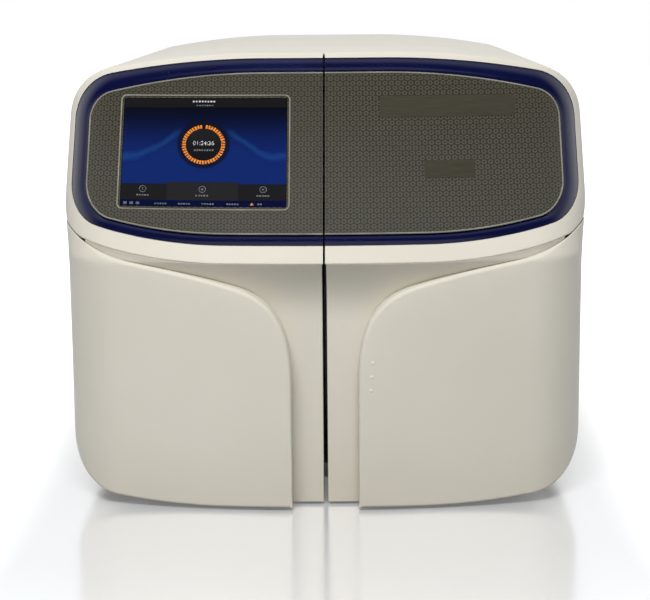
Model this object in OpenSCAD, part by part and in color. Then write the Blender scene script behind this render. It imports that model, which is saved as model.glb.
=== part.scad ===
// Benchtop semiconductor sequencer: moulded front with a touchscreen half and a hinged door half.
// Width runs along X, depth along Y with the front at -Y, and height along Z from the bench.
// Front pieces are placed by their depth behind the frontmost plane, through at_front().

/* [Body] */
// Width across the body
body_w = 544; // [520:2:600]
// Depth from the front plane to the rear edge
body_d = 813; // [760:1:880]
// Height of the crown above the bench
body_h = 452.5; // [440:0.5:480]
// Inset of the lower wings' sides from the widest point of the body
wing_inset = 7.5; // [2:0.5:14]
// Wall of the outer covers
cover_wall = 2.5; // [2:0.1:3.5]
// Gap between the body underside and the bench
ground_gap = 12; // [10:0.5:16]

/* [Front form] */
// Height of the ridge at the centre
ridge_z = 251.3; // [245:0.1:258]
// Backward tilt of the upper fascia, degrees
fascia_tilt = 32; // [28:0.5:35]
// Radius of the gentle plan bow of the front
bow_r = 900; // [800:10:1200]
// Plan radius of the front corners
corner_r = 55; // [48:1:60]
// Radius of the two crown corners, seen from the front
crown_r = 58; // [50:1:62]
// Radius of the two lower corners, seen from the front
skirt_r = 60; // [50:1:64]
// Height of the front skirt above the bench
skirt_z = 3; // [2:0.5:6]
// Recess of the centre columns behind the wings
cove_depth = 24; // [18:1:28]
// Height over which the cove sweeps back
cove_h = 60; // [50:1:70]
// Wall of the moulded front shells
shell_wall = 3; // [2.5:0.1:3.5]
// Depth of the front shells' side walls behind the front edge of the crown
front_back = 64.28; // [60:0.01:74]
// Reveal groove between the front shells and the rear covers
reveal = 8; // [7:0.5:10]

/* [Wings] */
// Distance of the wing's inner edge from the centre line
wing_edge_x = 33.5; // [30:0.5:40]
// Height at which the wing's inner edge starts to sweep outwards
wing_sweep_z = 131; // [120:1:140]
// Radius of the rolled wing edge
wing_roll = 4.5; // [3:0.5:6]

/* [Fascia] */
// Pale rim beside the bezel
rim_side = 10; // [8:0.5:14]
// Width of the bezel beside the plate
bezel_side = 18.5; // [14:0.5:24]
// Height of the pale band between ridge and bezel
band_h = 16.8; // [14:0.1:19]
// Height of the bezel below the plate
bezel_low_h = 10.6; // [8:0.1:13]
// Pale rim above the bezel
rim_h = 5.4; // [4.5:0.1:7]
// Height of the bezel above the plate
bezel_top_h = 14; // [11:0.5:16]
// Centre seam between the two fascia halves
fascia_seam = 2.2; // [1.6:0.1:3]
// Centre seam between the two columns
column_seam = 4.3; // [3:0.1:6]

/* [Screen] */
// Plate to the left and right of the display window
screen_side = 37.2; // [30:0.1:50]
// Plate below the display window
screen_below = 25.2; // [20:0.1:32]
// Plate above the display window
screen_above = 24.9; // [20:0.1:32]

/* [Door] */
// Hinge pin radius
pin_r = 2; // [1.5:0.1:2.2]
// Radial running clearance on the hinge pin
pin_play = 0.05; // [0.02:0.01:0.1]
// Outer radius of the hinge knuckles
knuckle_r = 3.6; // [3.2:0.1:3.8]
// Height of one hinge knuckle
knuckle_h = 18; // [14:1:24]
// Height of the lower hinge
hinge_low_z = 78; // [70:1:110]
// Height of the upper hinge
hinge_high_z = 306; // [290:1:315]
// Depth of the door liner behind the front plane
liner_y = 64; // [62:1:70]

/* [Compartment] */
// Floor height of the reagent compartment
bay_z = 34; // [32:1:38]
// Depth of the compartment's back wall behind the front plane
bay_d = 330; // [310:1:350]
// Height of the deck shelf
shelf_z = 246; // [240:1:252]
// Radius of the cleaning bottle
clean_r = 28; // [24:1:30]

/* [Rear] */
// Radius of the fan rotors
fan_r = 52; // [44:1:54]
// Side of the square fan frames
fan_side = 119; // [115:1:125]

/* [Hidden] */
$fn = 48;

half = body_w / 2;
wing_half = half - wing_inset;
bezel_half = half - rim_side;
plate_half = bezel_half - bezel_side;
front = -body_d / 2;
tilt = tan(fascia_tilt);
front_d = (body_h - ridge_z) * tilt + front_back;
pale = [0.85, 0.83, 0.77];
navy = [0.07, 0.09, 0.28];
olive = [0.36, 0.35, 0.31];
steel = [0.72, 0.73, 0.75];
dark = [0.12, 0.12, 0.13];
// Radial play of a pin in the part that holds it fast
press = 0.02;

// ---- Form of the front, in depth behind the frontmost plane -----------------------------

function smooth(t) = let (u = min(1, max(0, t))) u * u * (3 - 2 * u);
function lerp(a, b, t) = a + (b - a) * t;
function span(a, b, n) = [for (i = [0:n]) lerp(a, b, i / n)];
function arc(c, r, a0, a1, n) = [for (a = span(a0, a1, n)) c + r * [cos(a), sin(a)]];
function bezier(p, t) =
  (1 - t) ^ 3 * p[0] + 3 * (1 - t) ^ 2 * t * p[1] + 3 * (1 - t) * t ^ 2 * p[2] + t ^ 3 * p[3];

// Half width of the front shells at a height: the fascia flares out above the wings.
flare_z = [ridge_z - 11, ridge_z + 59];
function side_x(z) =
  lerp(wing_half, half, smooth((z - flare_z[0]) / (flare_z[1] - flare_z[0])));

// Ridge line between fascia and cove, rising towards the sides.
ridge_flat = 100;
ridge_rise_r = 536;
function ridge(x) = ridge_z + max(0, abs(x) - ridge_flat) ^ 2 / (2 * ridge_rise_r);

function bow(x) = x * x / (2 * bow_r);
function corner(a) =
  a >= corner_r ? 0 : corner_r - sqrt(corner_r ^ 2 - (corner_r - max(0, a)) ^ 2);
function plan_y(x, z) = bow(x) + corner(side_x(z) - abs(x));
function face_y(x, z) = plan_y(x, z) + max(0, z - ridge_z) * tilt;

// The cove is an arc that leaves the ridge and ends upright at the column.
cove_r = (cove_h ^ 2 + cove_depth ^ 2) / (2 * cove_depth);
function cove(q) =
  q >= cove_h ? cove_depth : cove_depth - cove_r + sqrt(cove_r ^ 2 - (cove_h - max(0, q)) ^ 2);
function cove_y(x, z) = plan_y(x, z) + cove(ridge(x) - z) + max(0, z - ridge_z) * tilt;

// Crown and underside of the body, seen from the front.
crown_flat = 60;
crown_bow_r = 900;
skirt_flat = 100;
skirt_bow_r = 850;
function crown_z(x) = body_h - max(0, abs(x) - crown_flat) ^ 2 / (2 * crown_bow_r);
function under_z(x, z0) = z0 + max(0, abs(x) - skirt_flat) ^ 2 / (2 * skirt_bow_r);

// A corner arc that runs on from the crown or the underside into an upright side.
function crown_angle(h, r) = atan((h - r - crown_flat) / (crown_bow_r - r));
function crown_c(h, r, drop = 0) =
  let (a = crown_angle(h, r), x = h - r + r * sin(a)) [h - r, crown_z(x) - drop - r * cos(a)];
function crown_corner(h, r, n, drop = 0) =
  arc(crown_c(h, r, drop), r, 90 - crown_angle(h, r), 0, n);
function under_angle(h, r) = atan((h - r - skirt_flat) / (skirt_bow_r - r));
function under_c(h, r, z0) =
  let (a = under_angle(h, r), x = h - r + r * sin(a)) [h - r, under_z(x, z0) + r * cos(a)];
function under_corner(h, r, z0, n) = arc(under_c(h, r, z0), r, under_angle(h, r) - 90, 0, n);

// Inner edge of the wing: upright at the column, then swept out to the side.
sweep_1 = [[wing_edge_x, wing_sweep_z], [wing_edge_x, wing_sweep_z + 51],
           [wing_edge_x + 13.5, ridge_z - 37.3], [wing_edge_x + 54.5, ridge_z - 24.3]];
sweep_2 = [sweep_1[3], sweep_1[3] + [30, 9.5], [wing_half - 109.5, ridge_z - 7.1],
           [wing_half - 75.5, ridge_z - 1.3]];
sweep_3 = [sweep_2[3], sweep_2[3] + [26, 4.4], [wing_half - 19.5, ridge_z + 14.7],
           [wing_half + 3, ridge_z + 31.7]];
function wing_sweep(n1, n2, n3) = concat(
  [for (i = [0:n1 - 1]) bezier(sweep_1, i / n1)],
  [for (i = [0:n2 - 1]) bezier(sweep_2, i / n2)],
  [for (i = [0:n3]) bezier(sweep_3, i / n3)]);

// ---- Builders ---------------------------------------------------------------------------

module at_front() translate([0, front, 0]) children();
module flip() mirror([1, 0, 0]) children();

// Closed solid between two grids of points that have the same rows and columns.
module skin(outer, inner) {
  rows = len(outer);
  cols = len(outer[0]);
  n = rows * cols;
  function id(i, j) = i * cols + j;
  function quad(a, b, c, d) = [[a, b, c], [a, c, d]];
  polyhedron(
    points = concat([for (r = outer) each r], [for (r = inner) each r]),
    faces = concat(
      [for (i = [0:rows - 2], j = [0:cols - 2])
        each quad(id(i, j), id(i, j + 1), id(i + 1, j + 1), id(i + 1, j))],
      [for (i = [0:rows - 2], j = [0:cols - 2])
        each quad(n + id(i, j), n + id(i + 1, j), n + id(i + 1, j + 1), n + id(i, j + 1))],
      [for (j = [0:cols - 2], i = [0])
        each quad(id(i, j), n + id(i, j), n + id(i, j + 1), id(i, j + 1))],
      [for (j = [0:cols - 2], i = [rows - 1])
        each quad(id(i, j), id(i, j + 1), n + id(i, j + 1), n + id(i, j))],
      [for (i = [0:rows - 2], j = [0])
        each quad(id(i, j), id(i + 1, j), n + id(i + 1, j), n + id(i, j))],
      [for (i = [0:rows - 2], j = [cols - 1])
        each quad(id(i, j), n + id(i, j), n + id(i + 1, j), id(i + 1, j))]
    ),
    convexity = 6);
}

// Prism along Y of an outline drawn in X and Z.
module along_y(y0, y1) translate([0, y1, 0]) rotate([90, 0, 0]) linear_extrude(y1 - y0) children();
// Prism along X of a profile drawn in Y and Z.
module along_x(x0, x1)
  translate([x0, 0, 0]) rotate([90, 0, 90]) linear_extrude(x1 - x0) children();

module box(lo, hi) translate(lo) cube(hi - lo);

// One row of a moulded shell, from edge point a to edge point b in X and Z.
// f gives the depth of the face at an inset t; ra and rb roll the two edges over, walls run
// back to depths ya and yb, and e is where the wall at b ends, at depth yi on its inside.
// crown lifts the middle.
roll = 1 - cos(45);
function swell(m) = sin(180 * min(1, m / 0.69));
function pt(p, y) = [p.x, y, p.y];
function shell_row(f, a, b, ra, rb, ya, yb, e, mids, t, crown = 0, yi = undef) =
  let (L = norm(b - a), n = (b - a) / L,
       r1 = min(ra, 0.3 * L), r2 = min(rb, 0.3 * L), w = min(t, 0.24 * L),
       q1 = max(r1 - w, 0.25), q2 = max(r2 - w, 0.25),
       g = function (d, s, y) let (p = a + n * d) pt(p, f(p.x, p.y, s) + y),
       s1 = L - r1 - r2, s2 = L - 2 * w - q1 - q2)
  [[pt(a, ya), g(0, 0, r1), g(roll * r1, 0, roll * r1), g(r1, 0, 0),
    each [for (m = mids) g(r1 + s1 * m, 0, -crown * swell(m))],
    g(L - r2, 0, 0), g(L - roll * r2, 0, roll * r2), g(L, 0, r2), pt(e, yb)],
   [pt(a + n * w, ya), g(w, t, q1), g(w + roll * q1, t, roll * q1), g(w + q1, t, 0),
    each [for (m = mids) g(w + q1 + s2 * m, t, -crown * swell(m))],
    g(L - w - q2, t, 0), g(L - w - roll * q2, t, roll * q2), g(L - w, t, q2),
    pt(e - n * w, is_undef(yi) ? yb : yi)]];
module moulding(rows) skin([for (r = rows) r[0]], [for (r = rows) r[1]]);

// ---- Front shells, right half ------------------------------------------------------------

g_f = fascia_seam / 2;
g_c = column_seam / 2;
seat = 0.3;

// Half of a loop on the fascia, from the centre seam at the top round to the seam at the bottom.
function fascia_loop(h, z0, bow_top, r_top, low, r_low) =
  let (at = atan((h - r_top - crown_flat) / (bow_top - r_top)),
       xt = h - r_top + r_top * sin(at),
       top = function (x) z0 - max(0, x - crown_flat) ^ 2 / (2 * bow_top),
       ct = [h - r_top, top(xt) - r_top * cos(at)],
       al = atan((h - r_low - ridge_flat) / (ridge_rise_r - r_low)),
       xl = h - r_low + r_low * sin(al),
       cl = [h - r_low, ridge(xl) + low + r_low * cos(al)])
  concat([for (i = [0:4]) let (x = lerp(g_f, xt, i / 5)) [x, top(x)]],
         arc(ct, r_top, 90 - at, 0, 6),
         [for (i = [1:2]) [h, lerp(ct.y, cl.y, i / 3)]],
         arc(cl, r_low, 0, al - 90, 5),
         [for (i = [1:6]) let (x = lerp(xl, g_f, i / 6)) [x, ridge(x) + low]]);

bezel_z = body_h - rim_h;
plate_z = bezel_z - bezel_top_h;
bezel_low = band_h;
plate_low = band_h + bezel_low_h;
bezel_loop = fascia_loop(bezel_half, bezel_z, crown_bow_r, 50, bezel_low, 40);
lip_loop = fascia_loop(plate_half - 4, plate_z - 4, 700, 26, plate_low + 4, 31);

// Outer edge of the fascia frame: crown, crown corner, side, then wing seam and ridge.
seam_z = [ridge_z + 50, ridge_z + 41];
function ridge_edge(x, z) = [x, max(ridge(x), z + 2 * seat)];
frame_loop =
  let (c = crown_c(half, crown_r), a = crown_angle(half, crown_r), xt = c.x + crown_r * sin(a),
       last = bezier(sweep_3, 0.7))
  concat([for (i = [0:4]) let (x = lerp(g_f, xt, i / 5)) [x, crown_z(x)]],
         crown_corner(half, crown_r, 6),
         [for (i = [1:2]) let (z = lerp(c.y, seam_z[0], i / 3)) [side_x(z), z]],
         [for (z = seam_z) [side_x(z), z]],
         [for (t = [1, 0.9, 0.8, 0.7]) let (p = bezier(sweep_3, t)) ridge_edge(p.x - seat, p.y)],
         [for (i = [1:6]) let (x = lerp(last.x, g_f, i / 6)) [x, ridge(x)]]);

function face_in(x, z, t) =
  bow(x) + t * (1 + (1 / cos(fascia_tilt) - 1) * smooth((z - ridge_z) / 20))
  + corner_in(side_x(z) - t - abs(x), corner_r - t) + max(0, z - ridge_z) * tilt;
function corner_in(a, r) = a >= r ? 0 : r - sqrt(r ^ 2 - (r - max(0, a)) ^ 2);
function cove_in(x, z, t) =
  bow(x) + t * (1 + 0.38 * smooth(1 - (ridge(x) - z) / cove_h))
  + corner_in(side_x(z) - t - abs(x), corner_r - t) + cove(ridge(x) - z)
  + max(0, z - ridge_z) * tilt;

// Depth of the frame's rear edge along the crown: just behind the rim, then back to the reveal.
rim_back = 8;
function rim_turn(p) = smooth((p.x - half + 26) / 16);
function rim_y(p, back = front_d, play = 0) =
  lerp(min(front_d, face_y(p.x, p.y) + rim_back + play), back, rim_turn(p));

module fascia_frame() {
  n_crown = 12;
  n_side = 17;
  moulding([for (i = [0:len(frame_loop) - 1])
    let (b = frame_loop[i], crown = i < n_crown, side = i < n_side,
         e = crown ? b : side ? [half, b.y + (i == n_side - 1 ? 3 : 0)] : b,
         yb = crown ? rim_y(b) : side ? front_d : face_y(b.x, b.y) + shell_wall + 1.5,
         a = bezel_loop[i], L = norm(b - a), inside = b - (b - a) / L * min(shell_wall, 0.24 * L),
         yi = crown ? rim_y(inside) : yb)
    shell_row(function (x, z, t) face_in(x, z, t), a, b, 0.6, side ? 3 : 1.5,
      face_y(a.x, a.y) + 5, yb, e, [0.35, 0.6, 0.8, 0.92], shell_wall, 0, yi)]);
}

// Column and cove below the ridge. Its outer edge lies hidden behind the wing.
cove_end_x = half - 30;
cove_under = 12;
module cove_column() {
  z_up = ridge_z - 52;
  top = concat([for (z = span(skirt_z, z_up, 5)) [g_c, z]],
    [for (i = [1:3]) [g_c, lerp(z_up, ridge_z - seat - 0.1, i / 3)]],
    [for (i = [1:10]) let (x = lerp(g_c, cove_end_x, i / 10)) [x, ridge(x) - seat - 0.1]]);
  hid = function (p, t) bezier(p, t) + cove_under * (t > 0.8 ? [0.3, -0.95] : [0.7, -0.7]);
  under = concat([for (z = span(skirt_z, wing_sweep_z, 4)) [wing_edge_x + cove_under, z]],
    [for (t = [0.2, 0.4, 0.55, 0.7, 0.85])
      bezier(sweep_1, t) + cove_under * [cos(90 * t - 20), -sin(90 * t - 20)]],
    [for (t = [0.05, 0.2, 0.4, 0.6, 0.8]) bezier(sweep_2, t) + cove_under * [0.28, -0.96]],
    [for (t = [0, 0.2, 0.4, 0.6]) bezier(sweep_3, t) + cove_under * [0.22, -0.97]]);
  moulding([for (i = [0:len(top) - 1])
    let (a = top[i], b = under[i], upright = i < 9)
    shell_row(function (x, z, t) cove_in(x, z, t), a, b, upright ? 1.2 : 0.4, 0.4,
      upright ? max(liner_y - 4, cove_y(a.x, a.y) + 6) : cove_y(a.x, a.y) + shell_wall + 2.5,
      cove_in(b.x, b.y, shell_wall) + 1.2, b, [0.25, 0.5, 0.75], shell_wall)]);
}

// Wing panel: rolled inner edge, side wall that runs back to the reveal.
skirt_back = 70;
module wing() {
  inner = concat([for (i = [0:4]) [wing_edge_x, lerp(skirt_z + 1.5, wing_sweep_z, i / 5)]],
    wing_sweep(6, 5, 6));
  low = under_corner(wing_half, skirt_r, skirt_z, 6);
  rear = under_corner(half, skirt_r, ground_gap, 6);
  z_top = ridge_z + 30;
  outer = concat([for (d = [1.5, 7, 13.5, 41, 69, 97, 125, 153]) let (x = wing_edge_x + d)
      [x, under_z(x, skirt_z)]],
    low,
    [for (i = [1:8]) let (z = lerp(low[6].y, z_top, i / 8)) [side_x(z), z]]);
  moulding([for (i = [0:len(inner) - 1])
    let (a = inner[i], b = outer[i], k = smooth((i - 8) / 5),
         room = cove_y(a.x, a.y) - face_y(a.x, a.y) - 1.3,
         ra = min(wing_roll, max(1, room)),
         e = i < 8 ? b : i < 15 ? lerp(b, rear[i - 8], k)
           : [half, lerp(rear[6].y, z_top + 3, (i - 14) / 8)])
    shell_row(function (x, z, t) face_in(x, z, t), a, b, ra, 3,
      face_y(a.x, a.y) + max(ra + 0.6, room + 0.6),
      i < 3 ? cove_y(b.x, b.y) - 0.7 : lerp(skirt_back, front_d, k), e,
      [for (j = [1:7]) sin(11.25 * j)], shell_wall)]);
}

// Depth of the bezel's edges behind the fascia, which clears the back of the plate.
bezel_sunk = 0.9;
module bezel() moulding([for (i = [0:len(bezel_loop) - 1])
  let (a = bezel_loop[i], b = lip_loop[i], n = (b - a) / norm(b - a), a1 = a + n * seat)
  shell_row(function (x, z, t) face_in(x, z, t) + bezel_sunk, a1, b, 0.8, 0.3,
    face_y(a1.x, a1.y) + 4.5, face_y(b.x, b.y) + 3.4, b, [0.17, 0.345, 0.52, 0.69], 2.2, 1.8)]);

// Height of the plate's lower and upper edge at a distance from the centre.
function plate_edges(x) =
  let (rl = 35, rt = 30, rb = 700, cx_l = plate_half - rl, cx_t = plate_half - rt,
       al = atan((cx_l - ridge_flat) / (ridge_rise_r - rl)), xl = cx_l + rl * sin(al),
       at = atan((cx_t - crown_flat) / (rb - rt)), xt = cx_t + rt * sin(at),
       top = function (x) plate_z - max(0, x - crown_flat) ^ 2 / (2 * rb))
  [x <= xl ? ridge(x) + plate_low
     : ridge(xl) + plate_low + rl * cos(al) - sqrt(rl ^ 2 - (x - cx_l) ^ 2),
   x <= xt ? top(x) : top(xt) - rt * cos(at) + sqrt(rt ^ 2 - (x - cx_t) ^ 2)];
plate_proud = 1.6;
plate_t = 1.8;
module plate() {
  xs = concat([g_f], [for (k = [0.205, 0.39, 0.554, 0.698, 0.813, 0.887, 0.932, 0.965, 0.986])
    plate_half * k], [plate_half - 0.2]);
  moulding([for (x = xs) let (e = plate_edges(x), a = [x, e[0]], b = [x, e[1]])
    shell_row(function (x, z, t) face_in(x, z, 0) - plate_proud + t, a, b, 0.7, 0.7,
      face_y(a.x, a.y) - plate_proud + plate_t + 0.2,
      face_y(b.x, b.y) - plate_proud + plate_t - 0.8, b, [0.06, 0.13, 0.22, 0.5, 0.8], plate_t)]);
}
screen_x = screen_side;
screen_w = plate_half - 2 * screen_side;
screen_z = [ridge_z + plate_low + screen_below, plate_z - screen_above];
screen_t = (screen_z[0] - ridge_z) / cos(fascia_tilt);
screen_h = (screen_z[1] - screen_z[0]) / cos(fascia_tilt);
module screen_opening(play) along_y(0, front_d)
  translate([screen_x - play, screen_z[0] - play])
    square([screen_w + 2 * play, screen_z[1] - screen_z[0] + 2 * play]);

module fascia_frame_left() color(pale) at_front() flip() fascia_frame();
module column_left() color(pale) at_front() flip() cove_column();
module wing_left() color(pale) at_front() flip() wing();
module bezel_left() color(navy) at_front() flip() bezel();
module fascia_plate_left() color(olive) at_front() flip() difference() {
  plate();
  screen_opening(0);
}
module door_frame() color(pale) at_front() fascia_frame();
module door_column() color(pale) at_front() cove_column();
module door_wing() color(pale) at_front() difference() {
  wing();
  light_holes();
}
module door_bezel() color(navy) at_front() bezel();
module door_plate() color(olive) at_front() plate();

glass_play = 0.3;
glass_t = 2;
module screen_glass() color([0.05, 0.1, 0.35]) at_front() flip()
  moulding([for (x = span(screen_x + glass_play, screen_x + screen_w - glass_play, 8))
    let (a = [x, screen_z[0] + glass_play], b = [x, screen_z[1] - glass_play])
    shell_row(function (x, z, t) face_in(x, z, 0) - plate_proud + 0.4 + t, a, b, 0.3, 0.3,
      face_y(a.x, a.y) - plate_proud + 0.6 + glass_t,
      face_y(b.x, b.y) - plate_proud + 0.6 + glass_t, b, [0.5], glass_t)]);

// Local frame on the tilted fascia: X across, Y into the body, Z up the fascia.
module on_fascia() at_front() translate([0, 0, ridge_z]) rotate([-fascia_tilt, 0, 0]) children();
module on_screen() {
  x2 = screen_x + screen_w;
  on_fascia() translate([screen_x, bow(screen_x) * cos(fascia_tilt), screen_t])
    rotate([0, 0, atan2((bow(x2) - bow(screen_x)) * cos(fascia_tilt), screen_w)]) children();
}
// Display behind the glass, on four posts that stand on the front carrier.
module display_module() color(dark) flip() {
  on_screen() {
    box([4, 2.2, 3], [screen_w - 4, 12, screen_h - 3]);
    box([14, 12, 12], [screen_w - 14, 18, screen_h - 12]);
  }
  y_post = (liner_y + 10 * tilt) * cos(fascia_tilt) - 0.3;
  on_fascia() for (x = [screen_x + 26, screen_x + screen_w - 36],
    t = [screen_t + 22, screen_t + screen_h - 29]) box([x, bow(x) + 8, t], [x + 10, y_post, t + 10]);
}

// ---- Door trim ---------------------------------------------------------------------------

// Two bare label fields that stand just proud of the door's plate.
label_t = 0.6;
label_gap = 0.25;
label_fields = [
  [57, plate_half - 47.5, plate_z - 44.6, plate_z - 24.1],
  [101, plate_half - 91.5, plate_z - 103.1, plate_z - 86.1]
];
module label_plates() color([0.42, 0.41, 0.37]) at_front()
  for (l = label_fields)
    moulding([for (x = span(l[0], l[1], 7))
      let (a = [x, l[2]], b = [x, l[3]], back = plate_proud + label_gap)
      shell_row(function (x, z, t) face_in(x, z, 0) - back - label_t + t, a, b, 0.2, 0.2,
        face_y(a.x, a.y) - back, face_y(b.x, b.y) - back - 0.3, b, [0.5], label_t)]);

// Three light pipes that lie flush in the door wing beside its inner edge.
light_r = 2;
light_pitch = 14;
light_top = [47.5, 152];
module status_lights() color([0.93, 0.92, 0.88]) at_front()
  for (i = [0:2])
    let (x = light_top.x - 0.9 * i, z = light_top.y - i * light_pitch)
      translate([x, bow(x) - 0.4, z]) rotate([-90, 0, 0]) cylinder(r = light_r, h = shell_wall + 6);
module light_holes() for (i = [0:2])
  let (x = light_top.x - 0.9 * i, z = light_top.y - i * light_pitch)
    translate([x, -5, z]) rotate([-90, 0, 0]) cylinder(r = light_r + 0.1, h = shell_wall + 15);

// ---- Door structure ----------------------------------------------------------------------

// Height at which the inner sheets start to follow the fascia's tilt.
knee_z = ridge_z - 10;
liner_t = 3;
liner_x = [g_c + 5, half - 21];
liner_top = body_h - 35.5;
rail_top = body_h - 77.5;
skin_gap = 0.6;
// Sheet, seam flange, top flange and side rail that carry the front shells of one half.
module carrier(rail_y) {
  y_top = liner_y + (liner_top - knee_z) * tilt;
  inset = shell_wall + 0.7;
  low = under_corner(wing_half - inset, skirt_r - inset, skirt_z + inset, 8);
  intersection() {
    along_y(liner_y, liner_y + liner_t)
      polygon(concat([[liner_x[0], knee_z]],
        [for (x = span(liner_x[0], low[0].x, 10)) [x, under_z(x, skirt_z + inset + skin_gap)]],
        [for (i = [1:8]) low[i] + [0, skin_gap]], [[low[8].x, knee_z]]));
    box([0, 0, 0], [liner_x[1], 100, knee_z]);
  }
  along_x(liner_x[0], liner_x[1]) polygon([
    [liner_y, knee_z - 1], [liner_y, knee_z], [y_top, liner_top], [y_top + liner_t, liner_top],
    [liner_y + liner_t, knee_z], [liner_y + liner_t, knee_z - 1]]);
  // Flange beside the centre seam, behind the column's return wall.
  along_x(liner_x[0] - 3.3, liner_x[0]) polygon([
    [liner_y - 3.5, skirt_z + 8], [liner_y + liner_t, skirt_z + 8], [liner_y + liner_t, knee_z],
    [y_top + liner_t, liner_top], [y_top - 28, liner_top], [liner_y - 28 + 40 * tilt, knee_z + 40],
    [liner_y - 3.5, knee_z - 30]]);
  // Top flange, cut to follow the inner face of the fascia frame.
  translate([0, 0, liner_top - liner_t]) linear_extrude(liner_t)
    polygon(concat(
      [for (x = span(liner_x[0] - 3.3, half - 50, 8))
        [x, face_in(x, liner_top, shell_wall) + skin_gap]],
      [[half - 50, y_top + 1], [liner_x[0] - 3.3, y_top + 1]]));
  // Side rail for the hinge leaves or the screws into the bulkhead.
  along_x(liner_x[1], liner_x[1] + 5) polygon([
    [liner_y + 10, 46], [rail_y, 46], [rail_y, rail_top], [y_top - 16, rail_top],
    [liner_y + 10, knee_z]]);
}
module door_liner() color([0.78, 0.77, 0.73]) at_front() carrier(front_d - 6);
module front_carrier_left() color([0.78, 0.77, 0.73]) at_front() flip()
  carrier(front_d + reveal + 7.8);

// Hinges: leaves on the door's rail, brackets on the rear cover, a pin through both.
hinge_x = half - knuckle_r + 0.6;
hinge_y = front_d + knuckle_r + 0.3;
hinges = [hinge_low_z, hinge_high_z];
bulkhead_y = front_d + reveal + 8;
leaf_t = 2.5;
module knuckle(z, h) translate([hinge_x, hinge_y, z]) cylinder(r = knuckle_r, h = h);
module pin_hole(z, h, r) translate([hinge_x, hinge_y, z]) cylinder(r = r, h = h);
module door_hinge_leaves() color(steel) at_front()
  for (z = hinges) difference() {
    union() {
      knuckle(z, knuckle_h);
      box([half - 16, front_d - 60, z - 4], [half - 16 + leaf_t, front_d + 2.3, z + knuckle_h + 4]);
      box([half - 17 + leaf_t, front_d + 0.3, z], [hinge_x, front_d + 2.3, z + knuckle_h]);
    }
    pin_hole(z - 5, knuckle_h + 10, pin_r + pin_play);
  }
end_gap = 0.3;
module hinge_brackets() color(steel) at_front()
  for (z = hinges, s = [-1, 1])
    let (z0 = s < 0 ? z - end_gap - knuckle_h / 2 : z + knuckle_h + end_gap, h = knuckle_h / 2)
    difference() {
      union() {
        knuckle(z0, h);
        box([half - 8.5, hinge_y + 1, z0], [hinge_x, hinge_y + 3, z0 + h]);
        box([half - 8.5, hinge_y + 1, z0], [half - 6.5, bulkhead_y - 0.2, z0 + h]);
        box([half - 27, bulkhead_y - 2.2, z0], [half - 6.5, bulkhead_y - 0.2, z0 + h]);
      }
      pin_hole(z0 - 1, h + 2, pin_r + press);
    }
module hinge_pins() color("silver") at_front()
  for (z = hinges) pin_hole(z - end_gap - knuckle_h / 2, 2 * knuckle_h + 2 * end_gap, pin_r);

// ---- Rear covers -------------------------------------------------------------------------

rear_d = front_d + reveal;
cover_split = crown_c(half, crown_r).y;
// Outline of the body from the crown down to the side, as points.
function crown_line(e) = concat(
  [for (x = span(0, half - crown_r, 8)) [x, crown_z(x) - e]],
  crown_corner(half - e, crown_r - e, 8, e));
module crown_band(t) polygon(concat(
  [for (p = crown_line(0)) p], [[half, cover_split - 6], [half - t, cover_split - 6]],
  [for (i = [len(crown_line(t)) - 1:-1:0]) crown_line(t)[i]]));
crown_gap = 0.8;
module crown_cut() {
  pts = [for (i = [0:11]) let (p = frame_loop[i]) [p.x, rim_y(p, rear_d, crown_gap)]];
  translate([0, 0, cover_split - 20]) linear_extrude(200)
    polygon(concat([[0, 0], [0, pts[0].y]], pts, [[half + 20, rear_d], [half + 20, 0]]));
}
module top_cover_half() difference() {
  along_y(front_d - 80, body_d) crown_band(cover_wall);
  crown_cut();
}
module top_cover() color(pale) at_front() {
  top_cover_half();
  flip() top_cover_half();
}
module side_cover() {
  low = under_corner(half, skirt_r, ground_gap, 8);
  low_in = under_corner(half - cover_wall, skirt_r - cover_wall, ground_gap + cover_wall, 8);
  along_y(rear_d, body_d) polygon(concat(
    [[half, cover_split - 6.5]], [for (i = [8:-1:0]) low[i]], [low[0] - [10, 1]],
    [low_in[0] - [10, 1]], low_in, [[half - cover_wall, cover_split - 6.5]]));
}
module side_cover_left() color(pale) at_front() flip() side_cover();
module side_cover_right() color(pale) at_front() side_cover();

rear_inset = 10;
rear_y = body_d - rear_inset;
base_t = 2;
// Closed section of the inside of the covers, from the base pan to the crown.
function inside_line(e) =
  let (low = under_corner(half - e, skirt_r - e, ground_gap + e, 8),
       side = concat([[0, crown_z(0) - e]], crown_line(e), [for (i = [8:-1:0]) low[i]],
         [low[0] - [10.6, 0.7], [low[0].x - 10.6, ground_gap + base_t + 0.2]]))
  concat(side, [for (i = [len(side) - 1:-1:1]) [-side[i].x, side[i].y]]);
module inside_sheet(y, t) along_y(y, y + t) polygon(inside_line(cover_wall + 0.3));

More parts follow.
